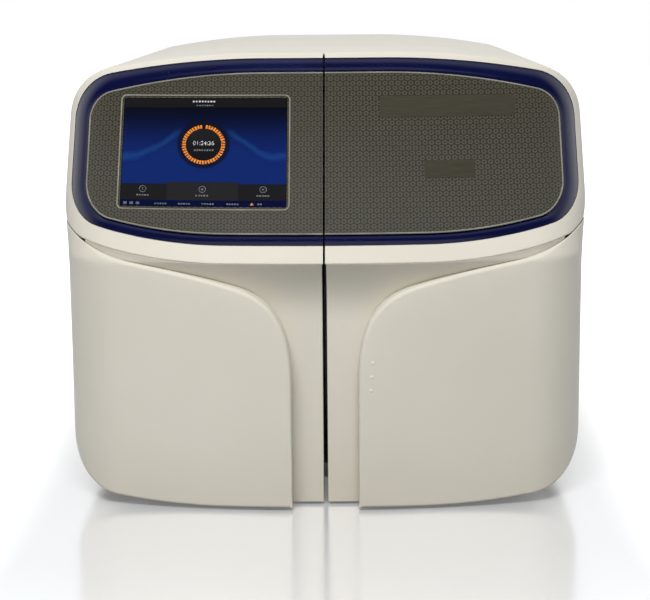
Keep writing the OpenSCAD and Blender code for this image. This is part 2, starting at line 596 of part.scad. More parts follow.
// Rear connectors: [x, z, width, height] of the cut-outs in the rear panel.
inlet = [72 - half, 62, 28, 24];
switch = [112 - half, 64, 14, 20];
lan = [-112, 66, 16, 14];
usb = [-84, 66, 14, 15];
fan_x = half - 144;
fan_z = body_h - 202.5;
fan_y = rear_y - 2.2;
module rear_cut(c, play = 0.3)
  box([c[0] - play, rear_y - 4, c[1] - play], [c[0] + c[2] + play, rear_y + 2, c[1] + c[3] + play]);
module rear_panel() color([0.8, 0.8, 0.79]) at_front() difference() {
  inside_sheet(rear_y - 2, 2);
  for (c = [inlet, switch, lan, usb]) rear_cut(c);
  for (x = [-fan_x, fan_x])
    translate([x, rear_y + 1, fan_z]) rotate([90, 0, 0]) cylinder(r = fan_r + 3, h = 6);
  for (x = [60:9:half - 68], z = [96, 128]) box([x, rear_y - 4, z], [x + 4, rear_y + 2, z + 24]);
}
module front_bulkhead() color(steel) at_front() difference() {
  inside_sheet(bulkhead_y, 2.5);
  box([17 - half, bulkhead_y - 1, 70], [-16, bulkhead_y + 4, body_h - 60.5]);
  box([bay_x[0] - 2.3, bulkhead_y - 1, bay_z - 2.3], [bay_x[1] + 2.3, bulkhead_y + 4, bay_top + 2.3]);
  box([-partition_x - 2.3, bulkhead_y - 1, 0], [-partition_x + 0.3, bulkhead_y + 4, chassis_z1 + 0.3]);
}

// ---- Base and chassis --------------------------------------------------------------------

base_x = half - skirt_r - 5;
base_y0 = 82;
foot_r = 18;
module base_pan() color(steel) at_front() {
  box([-base_x, base_y0, ground_gap], [base_x, body_d - rear_inset - 2.5, ground_gap + base_t]);
  for (y = [base_y0, body_d - rear_inset - 2.5 - base_t])
    box([-base_x, y, ground_gap], [base_x, y + base_t, ground_gap + 16]);
}
foot_x = base_x - 30;
foot_y = [base_y0 + 34, body_d - 60];
module feet() color(dark) at_front()
  for (x = [-foot_x, foot_x], y = foot_y)
    translate([x, y, 0]) {
      cylinder(r = foot_r, h = 7);
      translate([0, 0, 6]) cylinder(r = foot_r - 4, h = ground_gap - 6);
    }

partition_x = 3;
chassis_z1 = body_h - 22.5;
module centre_partition() color(steel) at_front() along_x(-partition_x - 2, -partition_x)
  polygon([[base_y0 + 6, ground_gap + base_t], [rear_y - 4.5, ground_gap + base_t],
    [rear_y - 4.5, chassis_z1], [liner_y + 12 + (chassis_z1 - knee_z) * tilt, chassis_z1],
    [base_y0 + 6, knee_z]]);

bay_x = [partition_x + 3, half - 36];
bay_y = base_y0 + 6;
bay_top = body_h - 44.5;
module compartment_liner() color([0.88, 0.88, 0.86]) at_front() {
  difference() {
    along_x(bay_x[0] - 2, bay_x[1] + 2) polygon([[bay_y - 8, bay_z - 2],
      [bay_d + 2, bay_z - 2], [bay_d + 2, bay_top + 2],
      [bay_y - 14 + (bay_top + 2 - knee_z) * tilt, bay_top + 2], [bay_y - 8, knee_z]]);
    box([bay_x[0], 0, bay_z], [bay_x[1], bay_d, bay_top]);
  }
  for (x = [bay_x[0], half - 78], y = [[bay_y + 4, bulkhead_y - 2], [bulkhead_y + 6, bay_d]])
    box([x, y[0], ground_gap + base_t], [x + 2, y[1], bay_z - 1]);
}
module deck_shelf() color([0.8, 0.81, 0.82]) at_front()
  box([bay_x[0], bay_y + 12, shelf_z], [bay_x[1], bay_d, shelf_z + 3]);

// ---- Door catch --------------------------------------------------------------------------

catch_z = [64, 196];
module door_strike_plates() color("silver") at_front() for (z = catch_z)
  box([liner_x[0] + 0.5, liner_y + liner_t, z], [liner_x[0] + 12.5, liner_y + liner_t + 1.5, z + 22]);
module door_magnets() color(dark) at_front() for (z = catch_z)
  box([bay_x[0] - 2, liner_y + liner_t + 2, z], [liner_x[0] + 12.5, bay_y - 8.2, z + 22]);

// ---- Reagents and waste ------------------------------------------------------------------

cart_x = [14, 70];
tank_x = [half - 98, half - 42];
// The wash bottle stands between the cartridge bay and the waste tray.
wash_r = (tank_x[0] - cart_x[1]) / 2 - 8;
wash_c = [cart_x[1] + 8 + wash_r, 156];
cart_y = [150, 292];
cart_h = 124;
guide = 0.3;
module cartridge_bay() color([0.62, 0.64, 0.66]) at_front() difference() {
  box([cart_x[0] - 4, 104, bay_z], [cart_x[1] + 4, 300, bay_z + cart_h + 10]);
  box([cart_x[0] - guide, 100, bay_z + 3], [cart_x[1] + guide, 296, bay_z + cart_h + 6]);
  box([cart_x[0] - 6, 100, bay_z + 60], [cart_x[1] + 6, 150, bay_z + cart_h + 20]);
}
module reagent_cartridge() color([0.93, 0.93, 0.9]) at_front() difference() {
  union() {
    box([cart_x[0], cart_y[0] + 8, bay_z + 3 + guide], [cart_x[1], cart_y[1], bay_z + 3 + cart_h - 6]);
    box([cart_x[0] + 6, cart_y[0] - 8, bay_z + 40], [cart_x[1] - 6, cart_y[0] + 10, bay_z + 72]);
    for (i = [0:5], s = [0, 1]) translate([lerp(cart_x[0], cart_x[1], 0.27 + 0.46 * s),
      cart_y[0] + 28 + i * 20, bay_z + cart_h - 4]) cylinder(r = 7, h = 5);
  }
  box([cart_x[0] + 12, cart_y[0] - 9, bay_z + 46], [cart_x[1] - 12, cart_y[0] + 4, bay_z + 66]);
}

// A bottle turned about its own axis: body, shoulder, neck.
module bottle(c, z0, r, h, neck, neck_h) translate([c.x, c.y, z0]) rotate_extrude() difference() {
  polygon([[0, 0], [r - 3, 0], [r, 3], [r, h * 0.78], [neck, h - neck_h], [neck, h], [0, h]]);
  polygon([[0, 2], [r - 3, 2], [r - 2, 4], [r - 2, h * 0.78 - 1], [neck - 2, h - neck_h],
    [neck - 2, h + 1], [0, h + 1]]);
}
module cap(c, z0, neck, h) translate([c.x, c.y, z0]) difference() {
  union() {
    cylinder(r = neck + 3, h = h);
    translate([0, 0, h]) cylinder(r = 5, h = 5);
  }
  translate([0, 0, -1]) cylinder(r = neck + 0.1, h = h - 0.7);
}
wash_h = 178;
wash_neck = 17;
module wash_bottle() color([0.9, 0.92, 0.93]) at_front()
  bottle(wash_c, bay_z + guide, wash_r - 1, wash_h - guide, wash_neck, 18);
module wash_cap() color([0.2, 0.4, 0.7]) at_front()
  cap(wash_c, bay_z + wash_h - 16, wash_neck, 18);
clean_c = [half - 72, 244];
clean_h = 104;
clean_neck = 12;
clean_z = shelf_z + 3;
module cleaning_bottle() color([0.88, 0.88, 0.85]) at_front()
  bottle(clean_c, clean_z + guide, clean_r, clean_h - guide, clean_neck, 16);
module cleaning_cap() color([0.75, 0.3, 0.15]) at_front()
  cap(clean_c, clean_z + clean_h - 14, clean_neck, 16);
// Low rails on the floor and on the shelf, between which the two bottles slide forwards.
module bottle_guides() color([0.62, 0.64, 0.66]) at_front() {
  for (s = [-1, 1]) {
    a = wash_c.x + s * (wash_r + 1) - 1.5;
    box([a, 104, bay_z], [a + 3, 216, bay_z + 16]);
    b = clean_c.x + s * (clean_r + 2) - 1.5;
    box([b, 190, clean_z], [b + 3, 284, clean_z + 14]);
  }
  wy = wash_c.y + wash_r - 0.5;
  box([wash_c.x - wash_r - 1, wy, bay_z], [wash_c.x + wash_r + 1, wy + 3, bay_z + 16]);
  cy = clean_c.y + clean_r + 0.5;
  box([clean_c.x - clean_r - 2, cy, clean_z], [clean_c.x + clean_r + 2, cy + 3, clean_z + 14]);
}

module waste_tray() color([0.62, 0.64, 0.66]) at_front() difference() {
  box([tank_x[0] - 3, 118, bay_z], [tank_x[1] + 3, 312, bay_z + 22]);
  box([tank_x[0] - guide, 110, bay_z + 3], [tank_x[1] + guide, 309, bay_z + 30]);
}
module waste_tank() color([0.9, 0.9, 0.86]) at_front() difference() {
  union() {
    box([tank_x[0], 134, bay_z + 3 + guide], [tank_x[1], 306, bay_z + 150]);
    translate([tank_x[0] + 28, 262, bay_z + 149]) cylinder(r = 14, h = 16);
  }
  difference() {
    box([tank_x[0] + 3, 137, bay_z + 7], [tank_x[1] - 3, 303, bay_z + 147]);
    box([tank_x[0] + 11, 130, bay_z + 93], [tank_x[1] - 11, 155, bay_z + 123]);
  }
  box([tank_x[0] + 14, 130, bay_z + 96], [tank_x[1] - 14, 152, bay_z + 120]);
  translate([tank_x[0] + 28, 262, bay_z + 140]) cylinder(r = 5, h = 40);
}

// ---- Chip clamp and fluidics -------------------------------------------------------------

block_x = [half - 160, half - 114];
clamp_x = [24, block_x[0] - 16];
clamp_y = [176, 284];
clamp_top = clean_z + 26;
pivot = [clamp_y[1] - 12, clamp_top + 12];
module clamp_bore(r) translate([clamp_x[0] - 1, pivot[0], pivot[1]]) rotate([0, 90, 0])
  cylinder(r = r, h = clamp_x[1] - clamp_x[0] + 2);
module chip_clamp_base() color([0.3, 0.32, 0.35]) at_front() difference() {
  union() {
    box([clamp_x[0], clamp_y[0], clean_z], [clamp_x[1], clamp_y[1], clamp_top]);
    for (x = [clamp_x[0], clamp_x[1] - 10]) {
      box([x, pivot[0] - 9, clamp_top - 1], [x + 10, pivot[0] + 9, pivot[1]]);
      translate([x, pivot[0], pivot[1]]) rotate([0, 90, 0]) cylinder(r = 9, h = 10);
    }
  }
  clamp_bore(4 + press);
  box([clamp_x[0] + 14, clamp_y[0] - 1, clamp_top - 4], [clamp_x[1] - 14, 244, clamp_top + 1]);
}
module sequencing_chip() color([0.15, 0.35, 0.25]) at_front() {
  box([clamp_x[0] + 14.3, clamp_y[0] + 6, clamp_top - 4],
    [clamp_x[1] - 14.3, 243.7, clamp_top - 1.5]);
  box([clamp_x[0] + 22, clamp_y[0] + 26, clamp_top - 2], [clamp_x[1] - 22, 232, clamp_top + 1]);
}
module clamp_pin() color("silver") at_front()
  translate([clamp_x[0], pivot[0], pivot[1]]) rotate([0, 90, 0])
    cylinder(r = 4, h = clamp_x[1] - clamp_x[0]);
module chip_clamp_lever() color([0.75, 0.76, 0.78]) at_front() difference() {
  union() {
    translate([clamp_x[0] + 10.5, pivot[0], pivot[1]]) rotate([0, 90, 0])
      cylinder(r = 9, h = clamp_x[1] - clamp_x[0] - 21);
    box([clamp_x[0] + 10.5, 196, clamp_top + 8], [clamp_x[1] - 10.5, pivot[0], clamp_top + 16]);
    box([clamp_x[0] + 24, 204, clamp_top + 1.5], [clamp_x[1] - 24, 230, clamp_top + 9]);
    box([clamp_x[0] + 22, 160, clamp_top + 10], [clamp_x[1] - 22, 198, clamp_top + 15]);
  }
  clamp_bore(4 + pin_play);
}

tube_r = 2;
module valve_block() color([0.82, 0.83, 0.8]) at_front() {
  box([block_x[0], 286, clean_z], [block_x[1], 327, clean_z + 66]);
  for (x = [block_x[0] + 10, block_x[1] - 10], z = [16, 40])
    translate([x, 286.5, clean_z + z]) rotate([90, 0, 0]) cylinder(r = 8, h = 16);
}
// Three tubes that leave the block sideways and turn into the back of the clamp base.
bend_r = 8;
module tubing() color([0.9, 0.9, 0.92]) at_front() for (i = [0:2]) {
  x = block_x[0] - 28 - 14 * i;
  y = 297 + 10 * i;
  z = clean_z + 12;
  translate([x + bend_r, y, z]) rotate([0, 90, 0]) cylinder(r = tube_r, h = block_x[0] - x - bend_r);
  translate([x + bend_r, y - bend_r, z]) rotate([0, 0, 90]) rotate_extrude(angle = 90)
    translate([bend_r, 0]) circle(r = tube_r);
  translate([x, clamp_y[1], z]) rotate([-90, 0, 0]) cylinder(r = tube_r, h = y - bend_r - clamp_y[1]);
}

// ---- Electronics -------------------------------------------------------------------------

module power_supply() color([0.66, 0.67, 0.69]) at_front() {
  z = ground_gap + base_t;
  box([-190, rear_y - 243, z], [-40, rear_y - 17, z + 40]);
  box([-150, rear_y - 303, z], [-50, rear_y - 242, z + 30]);
}
board_x = -partition_x - 10;
module mainboard() color([0.1, 0.35, 0.2]) at_front() {
  y0 = rear_y - 423;
  box([board_x - 1.6, y0, 90], [board_x, y0 + 320, 330]);
  for (y = [y0 + 12, y0 + 308], z = [102, 318]) translate([board_x - 1, y, z]) rotate([0, 90, 0])
    cylinder(r = 3.5, h = 9);
  box([board_x - 22, y0 + 90, 180], [board_x - 1, y0 + 170, 260]);
  for (i = [0:3]) box([board_x - 30, y0 + 200 + i * 12, 160], [board_x - 1, y0 + 204 + i * 12, 290]);
  box([board_x - 12, y0 + 20, 110], [board_x - 1, y0 + 70, 150]);
}

// ---- Fans and rear connectors ------------------------------------------------------------

fan_t = 25;
hub_r = 20;
shaft_r = 3;
module fan_axis(x, y0, y1, r) translate([x, y1, fan_z]) rotate([90, 0, 0]) cylinder(r = r, h = y1 - y0);
module fan_frames() color(dark) at_front() for (x = [-fan_x, fan_x]) {
  y1 = fan_y;
  y0 = y1 - fan_t;
  difference() {
    box([x - fan_side / 2, y0, fan_z - fan_side / 2], [x + fan_side / 2, y1, fan_z + fan_side / 2]);
    fan_axis(x, y0 - 1, y1 + 1, fan_r + 1.5);
    for (sx = [-1, 1], sz = [-1, 1])
      translate([x + sx * (fan_side / 2 - 7), y1 + 1, fan_z + sz * (fan_side / 2 - 7)])
        rotate([90, 0, 0]) cylinder(r = 2.2, h = fan_t + 2);
  }
  // Spider, stator seat and shaft.
  for (a = [0:3]) translate([x, 0, fan_z]) rotate([0, 45 + 90 * a, 0])
    box([hub_r - 6, y0, -2.5], [fan_r + 3, y0 + 3, 2.5]);
  fan_axis(x, y0, y0 + 4, hub_r - 2);
  fan_axis(x, y0 + 3, y1 - 2, shaft_r);
}
module fan_rotor() difference() {
  union() {
    fan_axis(0, fan_y - 20.5, fan_y - 1.5, hub_r);
    for (a = [0:6]) translate([0, fan_y - 11, fan_z]) rotate([0, 360 / 7 * a, 0]) rotate([38, 0, 0])
      box([hub_r - 2, -11, -0.9], [fan_r, 11, 0.9]);
  }
  fan_axis(0, fan_y - 30, fan_y + 5, shaft_r + pin_play);
}
module fan_rotor_left() color([0.2, 0.2, 0.22]) at_front() translate([-fan_x, 0, 0]) fan_rotor();
module fan_rotor_right() color([0.2, 0.2, 0.22]) at_front() translate([fan_x, 0, 0]) fan_rotor();
wire_r = 1.1;
module fan_grilles() color("silver") at_front() for (x = [-fan_x, fan_x]) {
  y = rear_y + wire_r;
  for (r = [14, 27, 40, 53]) translate([x, y + 1.5, fan_z]) rotate([90, 0, 0])
    rotate_extrude() translate([r, 0]) circle(r = wire_r);
  for (a = [45:90:315]) translate([x, y, fan_z]) rotate([0, a, 0])
    box([13, -wire_r, -1], [61, 1, 1]);
}

module power_inlet() color(dark) at_front() difference() {
  box([inlet[0], rear_y - 20, inlet[1]], [inlet[0] + inlet[2], rear_y + 1, inlet[1] + inlet[3]]);
  difference() {
    box([inlet[0] + 2.5, rear_y - 15, inlet[1] + 3],
      [inlet[0] + inlet[2] - 2.5, rear_y + 2, inlet[1] + 19]);
    for (d = [[7, 9], [13, 12.5], [19, 9]])
      box([inlet[0] + d[0], rear_y - 16, inlet[1] + d[1]],
        [inlet[0] + d[0] + 2, rear_y - 2, inlet[1] + d[1] + 4]);
  }
}
rocker_c = [switch[0] + switch[2] / 2, rear_y - 4, switch[1] + switch[3] / 2];
module switch_housing() color(dark) at_front() difference() {
  box([switch[0], rear_y - 16, switch[1]], [switch[0] + switch[2], rear_y + 1, switch[1] + switch[3]]);
  box([switch[0] + 2, rear_y - 12, switch[1] + 2],
    [switch[0] + switch[2] - 2, rear_y + 2, switch[1] + switch[3] - 2]);
  translate([switch[0] - 1, rocker_c.y, rocker_c.z]) rotate([0, 90, 0])
    cylinder(r = 1.5 + pin_play, h = switch[2] + 2);
}
module rocker_switch() color([0.25, 0.25, 0.26]) at_front() {
  translate([switch[0] + 0.2, rocker_c.y, rocker_c.z]) rotate([0, 90, 0])
    cylinder(r = 1.5, h = switch[2] - 0.4);
  along_x(switch[0] + 2.4, switch[0] + switch[2] - 2.4) translate([rocker_c.y, rocker_c.z])
    polygon([[-3, -6], [-3, 6], [3.6, 6.6], [3.2, 0], [6, -5.8]]);
}
module port(c, depth, mouth_z) difference() {
  box([c[0], rear_y - depth, c[1]], [c[0] + c[2], rear_y + 0.5, c[1] + c[3]]);
  for (z = mouth_z) box([c[0] + 1.5, rear_y - depth + 3, c[1] + z[0]],
    [c[0] + c[2] - 1.5, rear_y + 2, c[1] + z[1]]);
}
module network_port() color([0.7, 0.71, 0.72]) at_front() port(lan, 18, [[2, 11]]);
module usb_ports() color([0.7, 0.71, 0.72]) at_front() port(usb, 16, [[1.5, 6.5], [8.5, 13.5]]);

// Like screws share one node: rear panel edge and the four corners of each fan.
module rear_screws() color("silver") at_front() {
  edge = [for (s = [-1, 1]) each [[s * (half - 17), 120], [s * (half - 17), 250],
    [s * (half - 22), body_h - 80.5], [s * (half - 122), body_h - 16.5], [s * (half - 122), 30]]];
  fan = [for (x = [-fan_x, fan_x], sx = [-1, 1], sz = [-1, 1])
    [x + sx * (fan_side / 2 - 7), fan_z + sz * (fan_side / 2 - 7)]];
  for (p = concat(edge, fan)) translate([p.x, rear_y, p.y]) rotate([-90, 0, 0]) difference() {
    cylinder(r = 3.5, h = 2.2);
    translate([0, 0, 1]) cylinder(r = 2, h = 3, $fn = 6);
  }
}

// ---- Assembly ----------------------------------------------------------------------------

base_pan();
feet();
centre_partition();
front_bulkhead();
compartment_liner();
deck_shelf();
top_cover();
side_cover_left();
side_cover_right();
rear_panel();
front_carrier_left();
fascia_frame_left();
column_left();
wing_left();
bezel_left();
fascia_plate_left();
screen_glass();
display_module();
door_liner();
door_frame();
door_column();
door_wing();
door_bezel();
door_plate();
label_plates();
status_lights();
door_hinge_leaves();
hinge_brackets();
hinge_pins();
door_strike_plates();
door_magnets();
cartridge_bay();
reagent_cartridge();
wash_bottle();
wash_cap();
cleaning_bottle();
cleaning_cap();
bottle_guides();
waste_tray();
waste_tank();
chip_clamp_base();
sequencing_chip();
clamp_pin();
chip_clamp_lever();
valve_block();
tubing();
power_supply();
mainboard();
fan_frames();
fan_rotor_left();
fan_rotor_right();
fan_grilles();
power_inlet();
switch_housing();
rocker_switch();
network_port();
usb_ports();
rear_screws();
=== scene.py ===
from math import atan, atan2, cos, degrees, hypot, pi, radians, sin, sqrt, tan
import bmesh
import bpy
import numpy as np
from mathutils import Matrix, Vector


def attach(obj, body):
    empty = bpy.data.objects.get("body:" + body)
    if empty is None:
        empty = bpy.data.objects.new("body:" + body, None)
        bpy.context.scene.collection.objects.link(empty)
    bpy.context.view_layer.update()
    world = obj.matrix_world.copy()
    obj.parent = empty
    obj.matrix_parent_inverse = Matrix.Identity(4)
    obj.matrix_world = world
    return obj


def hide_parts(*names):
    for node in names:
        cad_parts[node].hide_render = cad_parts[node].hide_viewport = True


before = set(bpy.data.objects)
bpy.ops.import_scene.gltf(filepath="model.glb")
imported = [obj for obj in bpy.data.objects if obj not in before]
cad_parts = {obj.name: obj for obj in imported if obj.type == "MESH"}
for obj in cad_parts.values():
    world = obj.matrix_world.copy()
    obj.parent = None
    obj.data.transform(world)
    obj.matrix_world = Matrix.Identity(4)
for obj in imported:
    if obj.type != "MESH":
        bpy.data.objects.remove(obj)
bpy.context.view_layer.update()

# ---- Studio -------------------------------------------------------------------------------
# The camera stands well back on the bench's centre line and looks a little down. The object
# is on a glossy white worktop, lit by a wide softbox in front, one behind and the pale room.



def in_scene(name, data):
    """A new object that shows the given data, linked to the scene."""
    thing = bpy.data.objects.new(name, data)
    bpy.context.scene.collection.objects.link(thing)
    return thing


def plain_mesh(name, points, edges, faces):
    data = bpy.data.meshes.new(name)
    data.from_pydata(points, edges, faces)
    return data


def aimed_camera(place, pitch, yaw, lean, focal_px, frame_px):
    pitch, yaw, lean = radians(pitch), radians(yaw), radians(lean)
    ahead = Vector((-sin(yaw) * cos(pitch), cos(yaw) * cos(pitch), -sin(pitch)))
    right = Vector((cos(yaw), sin(yaw), 0.0))
    up = right.cross(ahead)
    data = bpy.data.cameras.new("studio_camera")
    data.sensor_fit, data.sensor_width = "HORIZONTAL", 36.0
    data.lens = 36.0 * focal_px / frame_px
    data.clip_start, data.clip_end = 0.05, 60.0
    camera = in_scene("studio_camera", data)
    turn = Matrix((right * cos(lean) - up * sin(lean), up * cos(lean) + right * sin(lean),
                   -ahead)).transposed().to_4x4()
    camera.matrix_world = Matrix.Translation(place) @ turn
    bpy.context.scene.camera = camera


class Shade:
    """A shader value. Arithmetic on it adds Math nodes, and node() adds any other node."""

    def __init__(self, tree, socket=None):
        self.tree, self.socket = tree, socket

    def node(self, kind, inputs=None, out=0, **settings):
        """Any shader node, fed with values or with other shader values."""
        made = self.tree.nodes.new("ShaderNode" + kind)
        for key, value in settings.items():
            setattr(made, key, value)
        for key, value in (inputs or {}).items():
            if isinstance(value, Shade):
                self.tree.links.new(value.socket, made.inputs[key])
            else:
                made.inputs[key].default_value = value
        return Shade(self.tree, made.outputs[out] if len(made.outputs) else None)

    def where(self):
        """The place on the object, in metres."""
        return self.node("TexCoord", out=3)

    def axis(self, number):
        """One coordinate of this place: 0 for X, 1 for Y, 2 for Z."""
        return self.node("SeparateXYZ", {0: self}, out=number)

    def stretched(self, *scale):
        return self.node("Mapping", {"Vector": self, "Scale": scale})

    def noise(self, scale, detail=3.0, **more):
        return self.node("TexNoise", {"Vector": self, "Scale": scale, "Detail": detail, **more})

    def maths(self, operation, *values):
        return self.node("Math", dict(enumerate(values)), operation=operation)

    def __add__(self, other): return self.maths("ADD", self, other)
    def __radd__(self, other): return self.maths("ADD", other, self)
    def __sub__(self, other): return self.maths("SUBTRACT", self, other)
    def __rsub__(self, other): return self.maths("SUBTRACT", other, self)
    def __mul__(self, other): return self.maths("MULTIPLY", self, other)
    def size(self): return self.maths("ABSOLUTE", self)
    def root(self): return self.maths("SQRT", self)
    def least(self, other): return self.maths("MINIMUM", self, other)
    def most(self, other): return self.maths("MAXIMUM", self, other)
    def part(self): return self.maths("FRACT", self)

    def ramp(self, low, high, start=0.0, end=1.0):
        """A smooth step from start, at or below low, to end, at or above high."""
        return self.node("MapRange", {0: self, 1: low, 2: high, 3: start, 4: end},
                         interpolation_type="SMOOTHSTEP", clamp=True)

    def band(self, low, high, soft):
        return self.ramp(low - soft, low + soft) * self.ramp(high - soft, high + soft, 1.0, 0.0)

    def between(self, first, second):
        """The colour first where this value is 0 and second where it is 1."""
        return self.node("Mix", {0: self, 6: first, 7: second}, out=2, data_type="RGBA")


def sheen(r, g, b):
    """Linear colour of an 8-bit display colour."""
    return tuple((c / 255 / 12.92) if c <= 10 else ((c / 255 + 0.055) / 1.055) ** 2.4
                 for c in (r, g, b)) + (1.0,)


def bare_tree(owner):
    """A shader value in the emptied node tree of a material or world."""
    owner.use_nodes = True
    owner.node_tree.nodes.clear()
    return Shade(owner.node_tree)


def worktop():
    corners = [(-9, -5, 0), (9, -5, 0), (9, 9, 0), (-9, 9, 0)]
    top = in_scene("worktop", plain_mesh("worktop", corners, [], [(0, 1, 2, 3)]))
    lacquer = bpy.data.materials.new("white_worktop")
    s = bare_tree(lacquer)
    white = (1.0, 1.0, 1.0, 1.0)
    seen = s.node("LightPath")
    where = s.where()
    wear, x, y = where.noise(7.0), where.axis(0), where.axis(1)
    # Painted light: for the camera the worktop glows faintly near the object and strongly beside it
    # and further off, which washes out the object's shadow there.
    beside = x.size().ramp(0.27, 0.4)
    far = (x * x + y * y).root().ramp(0.55, 1.5).most(beside)
    near_glow, far_glow, gloss_share = 0.14, 0.68, 0.66
    matt = s.node("BsdfDiffuse", {"Color": (0.86, 0.88, 0.92, 1.0)})
    gloss = s.node("BsdfGlossy", {"Color": white, "Roughness": wear.ramp(0.2, 0.8, 0.14, 0.18)})
    coat = s.node("MixShader", {0: gloss_share, 1: matt, 2: gloss})
    glow = s.node("Emission", {"Color": white, "Strength": seen * (near_glow + far * far_glow)})
    both = s.node("AddShader", {0: coat, 1: glow})
    s.node("OutputMaterial", {0: both})
    top.data.materials.append(lacquer)


def softbox(name, place, aim, width, height, power):
    data = bpy.data.lights.new(name, "AREA")
    data.shape, data.size, data.size_y, data.energy = "RECTANGLE", width, height, power
    lamp = in_scene(name, data)
    lamp.location = place
    lamp.rotation_euler = (Vector(aim) - Vector(place)).to_track_quat("-Z", "Y").to_euler()
    lamp.visible_glossy = False


def pale_room():
    """White to the camera, dim to matt surfaces and graded from front to rear in reflections."""
    world = bpy.data.worlds.new("pale_room")
    s = bare_tree(world)
    camera_ray = s.node("LightPath", out=0)
    glossy_ray = s.node("LightPath", out=3)
    depth = s.node("TexCoord", out=0).axis(1)
    mirrored = depth.ramp(-0.5, 0.3, 0.03, 0.72).most(depth.ramp(-0.93, -0.8, 0.5, 0.03))
    strength = camera_ray.most(glossy_ray * mirrored).most((1.0 - glossy_ray) * 0.3)
    air = s.node("Background", {"Color": (1.0, 1.0, 1.0, 1.0), "Strength": strength})
    s.node("OutputWorld", {0: air})
    bpy.context.scene.world = world


bpy.context.scene.view_settings.view_transform = "Standard"
aimed_camera((0.022, -2.0505, 0.518), pitch=10.4, yaw=0.74, lean=0.46, focal_px=1700.0,
             frame_px=650.0)
worktop()
pale_room()
softbox("key_softbox", (-0.3, -2.15, 2.7), (0.0, -0.2, 0.2), 1.8, 1.0, 88.0)
softbox("rear_softbox", (0.7, 3.0, 1.7), (0.0, 0.3, 0.2), 2.2, 1.4, 34.0)

# ---- Form of the moulded front ------------------------------------------------------------
# The shells are injection moulded in ivory plastic, about 3 mm thick. All of them follow one
# form: a plan bow with tight corners, a fascia that leans back and a cove under its ridge.
# Sizes are millimetres; depth is counted from the frontmost plane and height from the bench.

body_d, body_h = 813.0, 452.5
half, wing_half, ridge_z, lean = 272.0, 264.5, 251.3, radians(32.0)
lean_tan = tan(lean)
bow_r, corner_r, crown_r, skirt_r, skirt_z = 900.0, 55.0, 58.0, 60.0, 3.0
crown_flat, crown_bow_r, skirt_flat, skirt_bow_r = 60.0, 900.0, 100.0, 850.0
ridge_flat, ridge_rise_r = 100.0, 536.0
cove_depth, cove_h, wall, front_d, seat = 24.0, 60.0, 3.0, 190.0, 0.3
ground_gap = 12.0
cove_r = (cove_h ** 2 + cove_depth ** 2) / (2 * cove_depth)


def smooth(t):
    u = min(1.0, max(0.0, t))
    return u * u * (3 - 2 * u)


def lerp(a, b, t):
    if isinstance(a, tuple):
        return tuple(p + (q - p) * t for p, q in zip(a, b))
    return a + (b - a) * t


def span(a, b, n):
    return [lerp(a, b, i / n) for i in range(n + 1)]


def arc(centre, r, a0, a1, n):
    return [(centre[0] + r * cos(radians(a)), centre[1] + r * sin(radians(a)))
            for a in span(a0, a1, n)]


def bezier(p, t):
    w = ((1 - t) ** 3, 3 * (1 - t) ** 2 * t, 3 * (1 - t) * t ** 2, t ** 3)
    return (sum(a * q[0] for a, q in zip(w, p)), sum(a * q[1] for a, q in zip(w, p)))


def side_x(z):
    return lerp(wing_half, half, smooth((z - ridge_z + 11) / 70))


def ridge(x):
    return ridge_z + max(0.0, abs(x) - ridge_flat) ** 2 / (2 * ridge_rise_r)


def bow(x):
    return x * x / (2 * bow_r)


def corner(a, r=corner_r):
    return 0.0 if a >= r else r - sqrt(max(0.0, r * r - (r - max(0.0, a)) ** 2))


def face_y(x, z):
    return bow(x) + corner(side_x(z) - abs(x)) + max(0.0, z - ridge_z) * lean_tan


def cove(q):
    if q >= cove_h:
        return cove_depth
    return cove_depth - cove_r + sqrt(cove_r ** 2 - (cove_h - max(0.0, q)) ** 2)


def cove_y(x, z):
    return face_y(x, z) + cove(ridge(x) - z)


def face_in(x, z, t):
    steep = 1 / cos(lean) - 1
    return (bow(x) + t * (1 + steep * smooth((z - ridge_z) / 20))
            + corner(side_x(z) - t - abs(x), corner_r - t) + max(0.0, z - ridge_z) * lean_tan)


def cove_in(x, z, t):
    return (bow(x) + t * (1 + 0.38 * smooth(1 - (ridge(x) - z) / cove_h))
            + corner(side_x(z) - t - abs(x), corner_r - t) + cove(ridge(x) - z)
            + max(0.0, z - ridge_z) * lean_tan)


def crown_z(x):
    return body_h - max(0.0, abs(x) - crown_flat) ** 2 / (2 * crown_bow_r)


def crown_corner(h, r, n):
    a = atan((h - r - crown_flat) / (crown_bow_r - r))
    x = h - r + r * sin(a)
    return arc((h - r, crown_z(x) - r * cos(a)), r, 90 - degrees(a), 0, n)


def under_z(x, z0):
    return z0 + max(0.0, abs(x) - skirt_flat) ** 2 / (2 * skirt_bow_r)


def under_corner(h, r, z0, n):
    a = atan((h - r - skirt_flat) / (skirt_bow_r - r))
    x = h - r + r * sin(a)
    return arc((h - r, under_z(x, z0) + r * cos(a)), r, degrees(a) - 90, 0, n)


# Rows of a shell run from one edge to the other; both edges are rolled over and walls go back.
turn_steps = 7
roll_share, wall_share = 0.3, 0.24  # most of a row's length that a roll or a wall may take
least_r = 0.02  # smallest radius inside a rolled edge
crown_share = 0.69  # share of a crowned row that swells, from its first edge


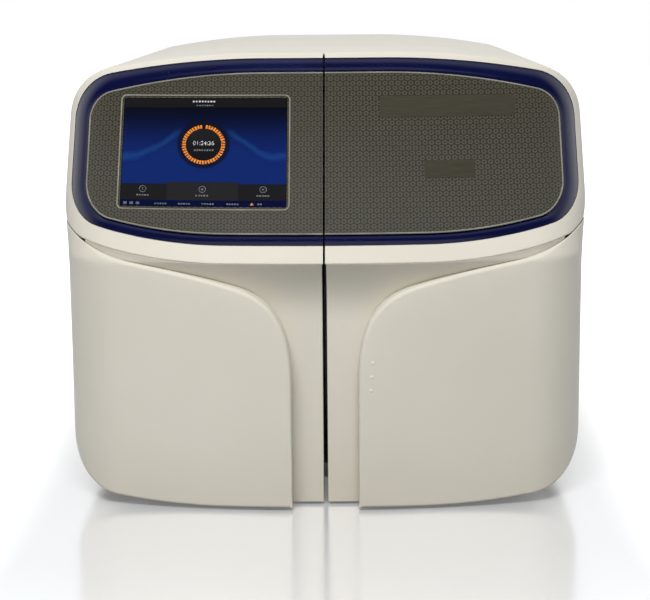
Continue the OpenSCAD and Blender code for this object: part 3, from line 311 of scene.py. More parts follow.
def shell_row(f, a, b, ra, rb, ya, yb, e, mids, t, crown=0.0, yi=None):
    """The outer and the inner points of one row of a shell, from edge a to edge b.

    f is the depth of the face at a place and a distance inwards. ra and rb round the edges, and
    their walls go back to the depths ya and yb, the second to the place e; yi is its inner
    depth where that differs. mids are the shares between the edges, t is the wall's thickness
    and crown is how far the middle swells.
    """
    a, b, e = np.array(a, float), np.array(b, float), np.array(e, float)
    length = max(1e-6, float(np.linalg.norm(b - a)))
    n = (b - a) / length
    r1, r2 = min(ra, roll_share * length), min(rb, roll_share * length)
    w = min(t, wall_share * length)
    q1, q2 = max(r1 - w, least_r), max(r2 - w, least_r)
    quarter = [radians(90.0 * i / turn_steps) for i in range(turn_steps + 1)]

    def at(d, s, dy):
        p = a + n * d
        return (p[0], f(p[0], p[1], s) + dy, p[1])

    def swell(m):
        return -crown * sin(pi * min(1.0, m / crown_share))

    outer = [(a[0], ya, a[1])]
    outer += [at(r1 * (1 - cos(g)), 0, r1 * (1 - sin(g))) for g in quarter]
    outer += [at(r1 + (length - r1 - r2) * m, 0, swell(m)) for m in mids]
    outer += [at(length - r2 * (1 - cos(g)), 0, r2 * (1 - sin(g))) for g in quarter[::-1]]
    outer += [(e[0], yb, e[1])]
    g1, g2 = a + n * w, e - n * w
    inner = [(g1[0], ya, g1[1])]
    inner += [at(w + q1 * (1 - cos(g)), t, q1 * (1 - sin(g))) for g in quarter]
    inner += [at(w + q1 + (length - 2 * w - q1 - q2) * m, t, swell(m)) for m in mids]
    inner += [at(length - w - q2 * (1 - cos(g)), t, q2 * (1 - sin(g)))
              for g in quarter[::-1]]
    inner += [(g2[0], yb if yi is None else yi, g2[1])]
    return outer, inner


def skin(name, rows, mirrored=False, crease=32.0):
    """A closed shell between the outer and the inner grid of the given rows."""
    outer = np.array([r[0] for r in rows], float)
    inner = np.array([r[1] for r in rows], float)
    count, wide = outer.shape[:2]
    points = np.concatenate([outer.reshape(-1, 3), inner.reshape(-1, 3)])
    points[:, 1] -= body_d / 2
    points *= 0.001
    if mirrored:
        points[:, 0] *= -1
    n = count * wide
    idx = np.arange(n).reshape(count, wide)

    def quads(a, b, c, d):
        return np.stack([part.ravel() for part in (a, b, c, d)], 1)

    p, q, r, s = idx[:-1, :-1], idx[:-1, 1:], idx[1:, 1:], idx[1:, :-1]
    first, last, low, high = idx[0], idx[-1], idx[:, 0], idx[:, -1]
    faces = [quads(p, q, r, s), n + quads(p, s, r, q),
             quads(first[:-1], n + first[:-1], n + first[1:], first[1:]),
             quads(last[:-1], last[1:], n + last[1:], n + last[:-1]),
             quads(low[:-1], low[1:], n + low[1:], n + low[:-1]),
             quads(high[:-1], n + high[:-1], n + high[1:], high[1:])]
    faces = np.concatenate(faces)
    if mirrored:
        faces = faces[:, ::-1]
    return mesh_piece(name, points.tolist(), faces.tolist(), crease)


def mesh_piece(name, points, faces, crease=32.0):
    data = bpy.data.meshes.new(name)
    bm = bmesh.new()
    made = [bm.verts.new(p) for p in points]
    for face in faces:
        bm.faces.new([made[i] for i in face])
    bmesh.ops.remove_doubles(bm, verts=bm.verts, dist=2e-6)
    bmesh.ops.dissolve_degenerate(bm, edges=bm.edges, dist=1e-6)
    bmesh.ops.recalc_face_normals(bm, faces=bm.faces)
    bm.to_mesh(data)
    bm.free()
    data.shade_smooth()
    data.set_sharp_from_angle(angle=radians(crease))
    return in_scene(name, data)


def new_finish(name, **still):
    """A Principled material with its unchanging sockets set, and the place on the object."""
    material = bpy.data.materials.new(name)
    material.use_nodes = True
    for key, value in still.items():
        surface = material.node_tree.nodes["Principled BSDF"]
        surface.inputs[key.replace("_", " ")].default_value = value
    return material, Shade(material.node_tree).where()


def feed(material, **sockets):
    """Links shader values to the material's sockets and gives the material back."""
    tree = material.node_tree
    for key, value in sockets.items():
        tree.links.new(value.socket, tree.nodes["Principled BSDF"].inputs[key.replace("_", " ")])
    return material


def grain_bump(where, scale, depth):
    grain = where.noise(scale, 2.0, Roughness=0.55)
    return where.node("Bump", {"Strength": 0.5, "Distance": depth, "Height": grain})


def toned(name, first, second, scale, rough, detail=3.0, grain=None, stretch=None,
          tone=(0.3, 0.7), **still):
    """Two near display colours that drift into each other, with a roughness that drifts along."""
    material, where = new_finish(name, **still)
    drift = (where.stretched(*stretch) if stretch else where).noise(scale, detail)
    sockets = {"Base_Color": drift.ramp(*tone).between(sheen(*first), sheen(*second)),
               "Roughness": drift.ramp(0.3, 0.7, *rough)}
    if grain:
        sockets["Normal"] = grain_bump(where, *grain)
    return feed(material, **sockets)


def brushed(name, dark, light, rough, metal=1.0):
    """Brushed or turned metal, or plated plastic, with fine lines along its length."""
    return toned(name, dark, light, 3.0, (rough, rough + 0.12), 4.0, None, (20.0, 20.0, 900.0),
                 Metallic=metal)


def moulded(name, dark, light, rough, grain=1100.0, **still):
    """Moulded plastic in two near tones with a spark-eroded grain."""
    return toned(name, dark, light, 18.0, (rough, rough + 0.1), 4.0, (grain, 0.00008), **still)


def ivory_plastic():
    """Satin ivory: faint moulding flow marks, a fine orange-peel grain and a soft clear sheen."""
    material, where = new_finish("ivory_plastic", IOR=1.47, Coat_Roughness=0.22)
    flow, haze = where.noise(5.0, 4.0), where.noise(60.0)
    base = flow.ramp(0.3, 0.7).between(sheen(221, 216, 203), sheen(216, 211, 197))
    # Painted shade: the ivory darkens towards the bench over its lowest 90 mm.
    low = where.axis(2).ramp(0.0, 0.09, 1.0, 0.0)
    return feed(material, Base_Color=(low * 0.25).between(base, sheen(196, 187, 168)),
                Roughness=haze.ramp(0.3, 0.7, 0.33, 0.4),
                Coat_Weight=flow.ramp(0.2, 0.8, 0.18, 0.28),
                Normal=grain_bump(where, 900.0, 0.00008))


ivory = ivory_plastic()


def dress(piece, finish, body, slot, *nodes):
    """Gives a new piece its finish and body, and hides the solids that it stands for."""
    piece.data.materials.clear()
    piece.data.materials.append(finish)
    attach(piece, body)
    if nodes:
        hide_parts(*nodes)
    return piece


halves = (("left", True, "chassis"), ("right", False, "door"))
fine = 6  # rows of a shell for each coarse step along its edges


def pair(name, rows, finish, slot, left_node, right_node, crease=32.0):
    """The same shell on both halves: mirrored on the fixed left, as drawn on the door."""
    for side, flipped, body in halves:
        dress(skin(name.format(side), rows, flipped, crease), finish, body, slot,
              left_node if flipped else right_node)


# ---- Fascia frames ------------------------------------------------------------------------
# Ivory rims that run round the bezel: a thin rolled lip at the crown, a wide return down the
# side and the pale band above the ridge. Each is clipped to the carrier of its own half.

seam_f, seam_c = 1.1, 2.15
bezel_half, plate_half = 262.0, 243.5
bezel_z, plate_z = body_h - 5.4, body_h - 5.4 - 14.0
bezel_low, plate_low = 16.8, 27.4
plate_bow_r = 700.0
edge_x, sweep_z = 33.5, 131.0  # the wing's inner edge, and where it starts to sweep outwards
sweep_1 = ((edge_x, sweep_z), (33.5, 182.0), (47.0, 214.0), (88.0, 227.0))
sweep_2 = ((88.0, 227.0), (118.0, 236.5), (155.0, 244.2), (189.0, 250.0))
sweep_3 = ((189.0, 250.0), (215.0, 254.4), (245.0, 266.0), (267.5, 283.0))


def fascia_corners(h, z0, bow_top, r_top, low, r_low):
    """The upper edge of a loop; then angle, start and centre of its upper and lower corner."""
    def top(x):
        return z0 - max(0.0, x - crown_flat) ** 2 / (2 * bow_top)

    at = atan((h - r_top - crown_flat) / (bow_top - r_top))
    xt = h - r_top + r_top * sin(at)
    al = atan((h - r_low - ridge_flat) / (ridge_rise_r - r_low))
    xl = h - r_low + r_low * sin(al)
    return (top, (at, xt, (h - r_top, top(xt) - r_top * cos(at))),
            (al, xl, (h - r_low, ridge(xl) + low + r_low * cos(al))))


def fascia_loop(h, z0, bow_top, r_top, low, r_low):
    """A half-loop from the seam along the crown, down the side and back along the ridge."""
    top, (at, xt, ct), (al, xl, cl) = fascia_corners(h, z0, bow_top, r_top, low, r_low)
    return ([(x, top(x)) for x in span(seam_f, xt, 5 * fine)[:-1]]
            + arc(ct, r_top, 90 - degrees(at), 0, 6 * fine)
            + [(h, z) for z in span(ct[1], cl[1], 3 * fine)[1:-1]]
            + arc(cl, r_low, 0, degrees(al) - 90, 5 * fine)
            + [(x, ridge(x) + low) for x in span(xl, seam_f, 6 * fine)[1:]])


def frame_outline():
    a = atan((half - crown_r - crown_flat) / (crown_bow_r - crown_r))
    xt = half - crown_r + crown_r * sin(a)
    bend = crown_corner(half, crown_r, 6 * fine)
    s0, s1 = ridge_z + 50, ridge_z + 41

    def on_ridge(p):
        return (p[0], max(ridge(p[0]), p[1] + 2 * seat))

    sweep = [on_ridge((bezier(sweep_3, t)[0] - seat, bezier(sweep_3, t)[1]))
             for t in span(1.0, 0.7, 3 * fine)]
    sides = span(bend[-1][1], s0, 3 * fine)[1:] + span(s0, s1, fine)[1:]
    return ([(x, crown_z(x)) for x in span(seam_f, xt, 5 * fine)[:-1]] + bend
            + [(side_x(z), z) for z in sides] + span((side_x(s1), s1), sweep[0], fine)[1:-1] + sweep
            + [(x, ridge(x)) for x in span(bezier(sweep_3, 0.7)[0], seam_f, 6 * fine)[1:]])


def rim_y(p, back=front_d, play=0.0):
    return lerp(min(front_d, face_y(*p) + 8 + play), back, smooth((p[0] - half + 26) / 16))


bezel_loop = fascia_loop(bezel_half, bezel_z, crown_bow_r, 50.0, bezel_low, 40.0)
frame_loop = frame_outline()


def frame_rows():
    rows = []
    for i, (a, b) in enumerate(zip(bezel_loop, frame_loop)):
        u = i / fine
        crown, side = u < 11.5, u <= 16
        drop = 3 * smooth((u - 15) / 1.0)
        e = b if crown or not side else (half, b[1] + drop)
        if crown:
            yb = rim_y(b)
        elif side:
            yb = front_d
        else:
            yb = lerp(front_d, face_y(*b) + wall + 0.4, min(1.0, u - 16))
            e = lerp((half, b[1] + 3), b, min(1.0, u - 16))
        d = hypot(b[0] - a[0], b[1] - a[1])
        inside = lerp(b, a, min(wall, wall_share * d) / d)
        rows.append(shell_row(face_in, a, b, 0.6, 3.0 - 0.8 * smooth(u - 16), face_y(*a) + 5, yb,
                              e, (0.15, 0.35, 0.5, 0.65, 0.8, 0.92), wall, 0.0,
                              rim_y(inside) if crown else yb))
    return rows


pair("fascia_rim_{}", frame_rows(), ivory, "pale_shell", "fascia_frame_left", "door_frame")

# ---- Columns and coves --------------------------------------------------------------------
# Under the ridge the ivory moulding sweeps back in a cove and runs down as a narrow column.
# Its outer edge is tucked behind the wing panel.


def through(points, n):
    """A smooth run through coarse points, n steps for each of them."""
    run = []
    for i in range(len(points) - 1):
        p = [points[max(0, min(len(points) - 1, j))] for j in (i - 1, i, i + 1, i + 2)]
        for step in range(n):
            t = step / n
            run.append(tuple(0.5 * (2 * p[1][c] + (p[2][c] - p[0][c]) * t
                             + (2 * p[0][c] - 5 * p[1][c] + 4 * p[2][c] - p[3][c]) * t ** 2
                             + (3 * p[1][c] - p[0][c] - 3 * p[2][c] + p[3][c]) * t ** 3)
                             for c in (0, 1)))
    return run + [tuple(points[-1])]


def column_rows():
    tuck = 12.0  # how far the column reaches under the wing
    hair = 0.06  # joint between the column and the band above it
    z_up = ridge_z - 52
    top = [(seam_c, z) for z in span(skirt_z, z_up, 5 * fine)[:-1]
           + span(z_up, ridge_z - hair, 3 * fine)[:-1]]
    top += [(x, ridge(x) - hair) for x in span(seam_c, 242.0, 10 * fine)]

    def out(p, dx, dz):
        return (p[0] + tuck * dx, p[1] + tuck * dz)

    under = [(edge_x + tuck, z) for z in span(skirt_z, sweep_z, 4)]
    under += [out(bezier(sweep_1, t), cos(radians(90 * t - 20)),
                  -sin(radians(90 * t - 20))) for t in (0.2, 0.4, 0.55, 0.7, 0.85)]
    under += [out(bezier(sweep_2, t), 0.28, -0.96) for t in (0.05, 0.2, 0.4, 0.6, 0.8)]
    under += [out(bezier(sweep_3, t), 0.22, -0.97) for t in (0.0, 0.2, 0.4, 0.6)]
    under = through(under, fine)
    rows = []
    for i, (a, b) in enumerate(zip(top, under)):
        ease = smooth((i / fine - 7.4) / 0.8)
        ya = lerp(max(60.0, cove_y(*a) + 6), cove_y(*a) + wall + 2.5, ease)
        rows.append(shell_row(cove_in, a, b, lerp(1.2, 0.1, ease), 0.4, ya, cove_y(*b) + wall + 1,
                              b, span(0, 1, 12)[1:-1], wall))
    return rows


pair("column_{}_shell", column_rows(), ivory, "pale_shell", "column_left", "door_column", 40.0)

# ---- Wing panels --------------------------------------------------------------------------
# Two large ivory panels stand proud of the columns. Their rolled inner edge rises upright and
# then sweeps outwards under the ridge; they wrap round the front corners to the reveal.


def wing_rows():
    roll, gap, side_back = 4.5, 1.3, 70.0
    inner = [(edge_x, z) for z in span(skirt_z + 1.5, sweep_z, 5 * fine)[:-1]]
    inner += [bezier(sweep_1, i / (6 * fine)) for i in range(6 * fine)]
    inner += [bezier(sweep_2, i / (5 * fine)) for i in range(5 * fine)]
    inner += [bezier(sweep_3, i / (6 * fine)) for i in range(6 * fine + 1)]
    low = under_corner(wing_half, skirt_r, skirt_z, 6 * fine)
    rear = under_corner(half, skirt_r, ground_gap, 6 * fine)
    z_top = ridge_z + 30
    steps = (1.5, 7.0, 13.5, 41.0, 69.0, 97.0, 125.0, 153.0, low[0][0] - edge_x)
    outer = [(x, under_z(x, skirt_z)) for x in
             (edge_x + lerp(steps[i // fine], steps[i // fine + 1], i % fine / fine)
              for i in range(8 * fine))]
    outer += low
    outer += [(side_x(z), z) for z in span(low[-1][1], z_top, 8 * fine)[1:]]
    mids = [sin(radians(90 * j / 22)) for j in range(1, 22)]
    rows = []
    for i, (a, b) in enumerate(zip(inner, outer)):
        u = i / fine
        turn = smooth((u - 8) / 5)
        if u < 8:
            e = b
        elif u <= 14:
            e = lerp(b, rear[i - 8 * fine], turn)
        else:
            e = (half, lerp(rear[-1][1], z_top + 3, (u - 14) / 8))
        room = cove_y(*a) - face_y(*a) - gap
        ra = min(roll, max(1.0, room))
        under_y = lerp(cove_y(*b) - 0.7, side_back, smooth(u - 2))
        yb = under_y if u < 3 else lerp(side_back, front_d, turn)
        rows.append(shell_row(face_in, a, b, ra, 3.0, face_y(*a) + max(ra, room) + 0.6, yb, e,
                              mids, wall))
    return rows


pair("wing_{}_panel", wing_rows(), ivory, "pale_shell", "wing_left", "door_wing")

# ---- Bezels -------------------------------------------------------------------------------
# Glossy navy mouldings between the ivory rim and the plate, softly crowned like a pillow, in
# one half-loop for each side of the centre seam.

lip_loop = fascia_loop(plate_half - 4, plate_z - 4, plate_bow_r, 26.0, plate_low + 4, 31.0)


def navy_gloss():
    """High-gloss navy with a clear lacquer and a few faint wipe marks."""
    material, where = new_finish("navy_gloss", IOR=1.45, Coat_Roughness=0.06)
    wipe = where.noise(14.0, 5.0)
    tone = wipe.ramp(0.3, 0.7).between(sheen(6, 11, 52), sheen(9, 15, 60))
    return feed(material, Base_Color=tone,
                Roughness=wipe.ramp(0.35, 0.7, 0.16, 0.24),
                Coat_Weight=wipe.ramp(0.3, 0.8, 0.5, 0.6), Normal=grain_bump(where, 300.0, 0.00002))


navy = navy_gloss()


def bezel_rows():
    rows = []
    for a, b in zip(bezel_loop, lip_loop):
        d = hypot(b[0] - a[0], b[1] - a[1])
        start = (a[0] + (b[0] - a[0]) / d * seat, a[1] + (b[1] - a[1]) / d * seat)
        rows.append(shell_row(lambda x, z, t: face_in(x, z, t) + 0.9, start, b, 0.8, 0.3,
                              face_y(*start) + 4.5, face_y(*b) + 3.4, b,
                              [crown_share * j / 8 for j in range(1, 9)] + [0.84], 2.2, 1.8))
    return rows


pair("bezel_{}_ring", bezel_rows(), navy, "navy_bezel", "bezel_left", "door_bezel", 40.0)

# ---- Patterned plates ---------------------------------------------------------------------
# Satin olive-grey plates with an all-over pattern of small flowers, set slightly proud of the
# bezel. The left one is cut out for the display; each has a fine raised bead along its edge.

plate_proud, plate_t = 1.6, 1.8
screen_x, screen_w = 37.2, 169.1
screen_z0, screen_z1 = ridge_z + plate_low + 25.2, plate_z - 24.9
flower_pitch = 0.0066
screen_h = 123.0  # along the leaning face
timer_u, timer_v = 0.498, 0.567  # middle of the timer, as shares of the picture


def plate_edges(x):
    """Heights of the plate's lower and upper edge at a distance from the centre."""
    top, (_, xt, ct), (_, xl, cl) = fascia_corners(plate_half, plate_z, plate_bow_r, 30.0,
                                                   plate_low, 35.0)
    low = ridge(x) + plate_low if x <= xl else (
        cl[1] - sqrt(max(0.0, 35.0 ** 2 - (x - cl[0]) ** 2)))
    high = top(x) if x <= xt else ct[1] + sqrt(max(0.0, 30.0 ** 2 - (x - ct[0]) ** 2))
    return low, high


def plate_front(x, z, t):
    return face_in(x, z, 0.0) - plate_proud + t


def plate_rows():
    xs = span(seam_f, 200.0, 40) + [200.0 + 43.3 * sin(radians(90 * j / 34))
                                    for j in range(1, 35)]
    rows = []
    for x in xs:
        low, high = plate_edges(x)
        a, b = (x, low), (x, high)
        rows.append(shell_row(plate_front, a, b, 0.7, 0.7, face_y(*a) - plate_proud + plate_t + 0.2,
                              face_y(*b) - plate_proud + plate_t + 0.2, b,
                              span(0, 1, 14)[1:-1], plate_t))
    return rows


def flower_satin():
    """Satin olive-grey, printed all over with six-petalled rings round small dark dots."""
    material, where = new_finish("flower_satin", IOR=1.45)
    x, z = where.axis(0), where.axis(2)
    u = x * (1 / flower_pitch)
    v = z * (1 / (cos(lean) * sqrt(3.0) * flower_pitch))
    a, b = u.part() - 0.5, (v.part() - 0.5) * sqrt(3.0)
    c, d = (u + 0.5).part() - 0.5, ((v + 0.5).part() - 0.5) * sqrt(3.0)
    ra, rb = (a * a + b * b).root(), (c * c + d * d).root()
    second = ra.maths("GREATER_THAN", ra, rb)
    px, pz = a + (c - a) * second, b + (d - b) * second
    r = ra.least(rb)
    petals = where.maths("COSINE", pz.maths("ARCTAN2", pz, px) * 6.0)
    ring = r.band(0.2, 0.36, 0.07) * (petals * 0.3 + 0.7)
    dot = r.ramp(0.06, 0.17, 1.0, 0.0)
    gap = r.ramp(0.42, 0.56)
    # The ground of the print darkens and turns more olive towards the top of the plate.
    rise = z.ramp(0.27, 0.43)
    ground = rise.between(sheen(70, 69, 63), sheen(57, 54, 43))
    raised = (ring * 0.6).between(ground, sheen(104, 101, 88))
    colour = (dot.most(gap) * 0.7).between(raised, sheen(26, 25, 20))
    relief = where.node("Bump", {"Strength": 0.35, "Distance": 0.0002, "Height": ring - dot * 0.6})
    return feed(material, Base_Color=colour, Normal=relief,
                Roughness=where.noise(30.0).ramp(0.3, 0.7, 0.34, 0.42))


olive = flower_satin()


def finished(piece):
    """Bakes the modifiers of a new piece into its mesh."""
    view = bpy.context.evaluated_depsgraph_get()
    data = bpy.data.meshes.new_from_object(piece.evaluated_get(view))
    piece.modifiers.clear()
    piece.data = data
    return piece


def window_cut(panel):
    tool = mesh_piece("window_tool", [(-(screen_x + screen_w * i) / 1000, y, z / 1000)
                                      for i in (0, 1) for y in (-0.43, -0.2)
                                      for z in (screen_z0, screen_z1)],
                      [(0, 1, 3, 2), (4, 6, 7, 5), (0, 4, 5, 1), (2, 3, 7, 6), (0, 2, 6, 4),
                       (1, 5, 7, 3)])
    cut = panel.modifiers.new("window", "BOOLEAN")
    cut.operation, cut.solver, cut.object = "DIFFERENCE", "EXACT", tool
    finished(panel)
    bpy.data.objects.remove(tool)
    panel.data.shade_smooth()
    panel.data.set_sharp_from_angle(angle=radians(32.0))


for side, flipped, body in halves:
    plate = skin(f"plate_{side}_panel", plate_rows(), flipped)
    if flipped:
        window_cut(plate)
    dress(plate, olive, body, "patterned_plate", "fascia_plate_left" if flipped else "door_plate")


def growth_tree(name, inputs, parts, links, fixed=(), modes=()):
    """Geometry nodes from tables; what reaches real is realised and painted with Finish."""
    tree = bpy.data.node_groups.new(name, "GeometryNodeTree")
    for label, kind in (*inputs, ("Finish", "Material")):
        tree.interface.new_socket(label, in_out="INPUT", socket_type=f"NodeSocket{kind}")
    tree.interface.new_socket("Grown", in_out="OUTPUT", socket_type="NodeSocketGeometry")
    kinds = {"given": "NodeGroupInput", "result": "NodeGroupOutput", **parts,
             "real": "GeometryNodeRealizeInstances", "paint": "GeometryNodeSetMaterial"}
    made = {key: tree.nodes.new(kind) for key, kind in kinds.items()}
    for key, setting, value in modes:
        setattr(made[key], setting, value)
    for key, socket, value in fixed:
        made[key].inputs[socket].default_value = value
    for link in (*links, "real.Geometry > paint.Geometry", "given.Finish > paint.Material",
                 "paint.Geometry > result.Grown"):
        (a, start), (b, end) = (side.split(".") for side in link.split(" > "))
        tree.links.new(made[a].outputs[start], made[b].inputs[end])
    return tree


bead = growth_tree("edge_bead", (("Path", "Geometry"), ("Bead Radius", "Float")),
                   {"path": "GeometryNodeMeshToCurve", "ring": "GeometryNodeCurvePrimitiveCircle",
                    "sweep": "GeometryNodeCurveToMesh"},
                   ("given.Path > path.Mesh", "path.Curve > sweep.Curve",
                    "given.Bead Radius > ring.Radius", "ring.Curve > sweep.Profile Curve",
                    "sweep.Mesh > real.Geometry"),
                   (("ring", "Resolution", 8), ("sweep", "Fill Caps", True)))


def grown(name, tree, data, inputs):
    """A plain mesh piece grown by a geometry node tree from the given mesh."""
    piece = in_scene(name, data)
    growth = piece.modifiers.new("growth", "NODES")
    growth.node_group = tree
    for item in tree.interface.items_tree:
        if item.in_out == "INPUT" and item.name in inputs:
            growth[item.identifier] = inputs[item.name]
    return finished(piece)


def path_mesh(name, points, closed=False):
    edges = [(i, i + 1) for i in range(len(points) - 1)]
    return plain_mesh(name, points, edges + [(len(points) - 1, 0)] * closed, [])


def world_point(x, y, z, mirrored):
    return ((-x if mirrored else x) / 1000, (y - body_d / 2) / 1000, z / 1000)


# The bare edge of the plate, the same satin without print; its much paler colour is a painted
# highlight along the rounded edge.
highlight_bead = toned("bead_satin_painted_highlight", (150, 147, 132), (128, 125, 110), 40.0, (0.3, 0.4), IOR=1.45)


def bead_piece(name, points, radius, body, closed=False):
    piece = grown(name, bead, path_mesh(name, points, closed),
                  {"Bead Radius": radius / 1000, "Finish": highlight_bead})
    piece.data.shade_smooth()
    dress(piece, highlight_bead, body, "patterned_plate")


for side, flipped, body in halves:
    edge = fascia_loop(plate_half - 0.7, plate_z - 0.7, plate_bow_r, 29.3, plate_low + 0.7, 34.3)
    rim_path = [world_point(x, plate_front(x, z, 0.1), z, flipped) for x, z in edge]
    bead_piece(f"plate_{side}_bead", rim_path, 0.9, body)

# ---- Display ------------------------------------------------------------------------------
# A colour touch panel behind clear glass, level with the left plate. It shows a running
# timer: a ring of orange segments round a dark disc, on blue, over a bar of plain buttons.


def glass_front(x, z, t):
    return plate_front(x, z, t) + 0.4


def glass_point(s, v, lift=0.0):
    """Point on the glass for s from 0, left, to 1, right, and v from 0, low, to 1, high."""
    x = screen_x + screen_w * (1 - s)
    z = screen_z0 + (screen_z1 - screen_z0) * v
    return world_point(x, glass_front(x, z, 0.0) - lift, z, True)


def lit_panel():
    """The lit picture under clear glass: bars, a blue field that darkens upwards, a faint wave."""
    material, where = new_finish("lit_panel", IOR=1.4, Roughness=0.08, Emission_Strength=0.72)
    x, z = where.axis(0), where.axis(2)
    u = (x + (screen_x + screen_w) / 1000) * (1000 / screen_w)
    v = (z - screen_z0 / 1000) * (1000 / (screen_z1 - screen_z0))
    field = v.ramp(0.45, 0.9).between(sheen(16, 42, 118), sheen(4, 9, 30))
    side = (u - 0.5).size()
    crest = 0.45 + side.ramp(0.12, 0.42, 0.24, 0.0) + (where.noise(26.0, 4.0) - 0.5) * 0.16
    glow = (v - crest).size().ramp(0.0, 0.05, 1.0, 0.0) * side.ramp(0.11, 0.2)
    field = (glow * 0.4).between(field, sheen(38, 92, 168))
    below = (crest - v).ramp(0.0, 0.1) * 0.12
    field = below.between(field, sheen(20, 70, 150))
    aspect = (screen_z1 - screen_z0) / cos(lean) / screen_w
    dx, dz = u - timer_u, (v - timer_v) * aspect
    r = (dx * dx + dz * dz).root()
    halo = r.ramp(0.150, 0.168, 1.0, 0.0) * 0.85
    field = halo.between(field, sheen(16, 20, 30))
    disc = r.ramp(0.104, 0.108, 1.0, 0.0)
    field = disc.between(field, v.ramp(0.45, 0.7).between(sheen(26, 25, 26), sheen(38, 37, 38)))
    middle = u.band(0.284, 0.712, 0.002)
    bar = v.ramp(0.205, 0.209, 1.0, 0.0).most(middle * v.ramp(0.222, 0.226, 1.0, 0.0))
    button = middle.between(sheen(34, 33, 34), sheen(44, 43, 45))
    field = bar.between(field, button)
    strip = v.ramp(0.058, 0.061, 1.0, 0.0)
    field = strip.between(field, sheen(4, 14, 62))
    title = v.ramp(0.909, 0.912)
    field = title.between(field, sheen(29, 27, 27))
    edge = u.band(0.004, 0.996, 0.002) * v.band(0.005, 0.995, 0.002)
    field = edge.between(sheen(8, 8, 10), field)
    dark = v.ramp(0.0, 1.0).between(sheen(6, 7, 10), sheen(5, 6, 9))
    return feed(material, Base_Color=dark, Emission_Color=field)


def glass_rows():
    rows = []
    for x in span(screen_x + 0.3, screen_x + screen_w - 0.3, 24):
        a, b = (x, screen_z0 + 0.3), (x, screen_z1 - 0.3)
        rows.append(shell_row(glass_front, a, b, 0.3, 0.3, glass_front(*a, 0.2) + 2.0,
                              glass_front(*b, 0.2) + 2.0, b, span(0, 1, 12)[1:-1], 2.0))
    return rows


dress(skin("display_panel", glass_rows(), True), lit_panel(), "chassis", "display_glass",
      "screen_glass")


def round_rectangle(x0, x1, z0, z1, r, n=8):
    corners = ((x1 - r, z1 - r, 0), (x0 + r, z1 - r, 90), (x0 + r, z0 + r, 180),
               (x1 - r, z0 + r, 270))
    return [p for x, z, a in corners for p in arc((x, z), r, a, a + 90, n)]


def eased(points, longest=6.0):
    """The same closed run of points with long straight stretches divided."""
    run = []
    for p, q in zip(points, points[1:] + points[:1]):
        n = max(1, int(hypot(q[0] - p[0], q[1] - p[1]) / longest))
        run += [lerp(p, q, i / n) for i in range(n)]
    return run


# The bead round the display carries the same painted highlight.
frame_path = eased(round_rectangle(screen_x - 2.6, screen_x + screen_w + 2.6, screen_z0 - 2.4,
                                   screen_z1 + 2.4, 5.0))
bead_piece("display_surround", [world_point(x, plate_front(x, z, 0.15), z, True)
                                for x, z in frame_path], 0.8, "chassis", closed=True)


def lit_mark(name, colour, strength):
    """A bright mark of the picture, with the panel's faint pixel grain."""
    material, where = new_finish(name, Roughness=0.3, Emission_Strength=strength)
    colour = sheen(*colour)
    dim = tuple(c * 0.8 for c in colour[:3]) + (1.0,)
    grain = where.noise(900.0, 1.0).ramp(0.3, 0.7)
    return feed(material, Emission_Color=grain.between(dim, colour),
                Base_Color=grain.between((0.01, 0.01, 0.01, 1.0), dim))


orange_lit = lit_mark("orange_lit", (222, 126, 26), 0.75)
white_lit = lit_mark("white_lit", (196, 196, 198), 0.62)
grey_lit = lit_mark("grey_lit", (104, 106, 112), 0.55)


def on_glass(name, flat, finish, lift=0.12):
    """Lays a flat mesh, drawn in millimetres on the picture from its lower left, on the glass."""
    for vertex in flat.vertices:
        s, v = vertex.co.x / screen_w, vertex.co.y / screen_h
        vertex.co = glass_point(s, v, lift + vertex.co.z)
    return dress(in_scene(name, flat), finish, "chassis", "display_glass")


def ring_tree(name, open_top):
    """Blocks of one size, spaced round a circle and turned with it; open_top omits the first."""
    parts = {"circle": "GeometryNodeMeshCircle", "block": "GeometryNodeMeshCube",
             "place": "GeometryNodeInputPosition", "aim": "FunctionNodeAlignEulerToVector",
             "put": "GeometryNodeInstanceOnPoints"}
    links = ["given.Ring Radius > circle.Radius", "given.Blocks > circle.Vertices",
             "given.Block Size > block.Size", "place.Position > aim.Vector",
             "circle.Mesh > put.Points", "block.Mesh > put.Instance",
             "aim.Rotation > put.Rotation", "put.Instances > real.Geometry"]
    modes = [("aim", "axis", "X")]
    if open_top:
        parts.update(index="GeometryNodeInputIndex", keep="FunctionNodeCompare")
        links += ["index.Index > keep.A", "keep.Result > put.Selection"]
        modes += [("keep", "data_type", "INT"), ("keep", "operation", "NOT_EQUAL")]
    return growth_tree(name, (("Ring Radius", "Float"), ("Blocks", "Int"),
                              ("Block Size", "Vector")), parts, links, modes=modes)


segments = grown("segment_source", ring_tree("segment_ring", True),
                 bpy.data.meshes.new("segment_source"),
                 {"Ring Radius": 20.2, "Blocks": 44, "Block Size": (3.9, 2.05, 0.1),
                  "Finish": orange_lit})
ring_flat = segments.data
ring_flat.transform(Matrix.Translation((timer_u * screen_w, timer_v * screen_h, 0))
                    @ Matrix.Rotation(radians(90), 4, "Z"))
bpy.data.objects.remove(segments)
on_glass("timer_ring", ring_flat, orange_lit)


def flat_blocks(boxes):
    """A flat mesh of rectangles given as low and high corners in millimetres."""
    points, faces = [], []
    for x0, y0, x1, y1 in boxes:
        n = len(points)
        points += [(x0, y0, 0), (x1, y0, 0), (x1, y1, 0), (x0, y1, 0)]
        points += [(x, y, -0.08) for x, y, _ in points[n:n + 4]]
        faces += [(n, n + 1, n + 2, n + 3), (n + 7, n + 6, n + 5, n + 4)]
        faces += [(n + i, n + 4 + i, n + 4 + (i + 1) % 4, n + (i + 1) % 4) for i in range(4)]
    return plain_mesh("flat_blocks", points, [], faces)


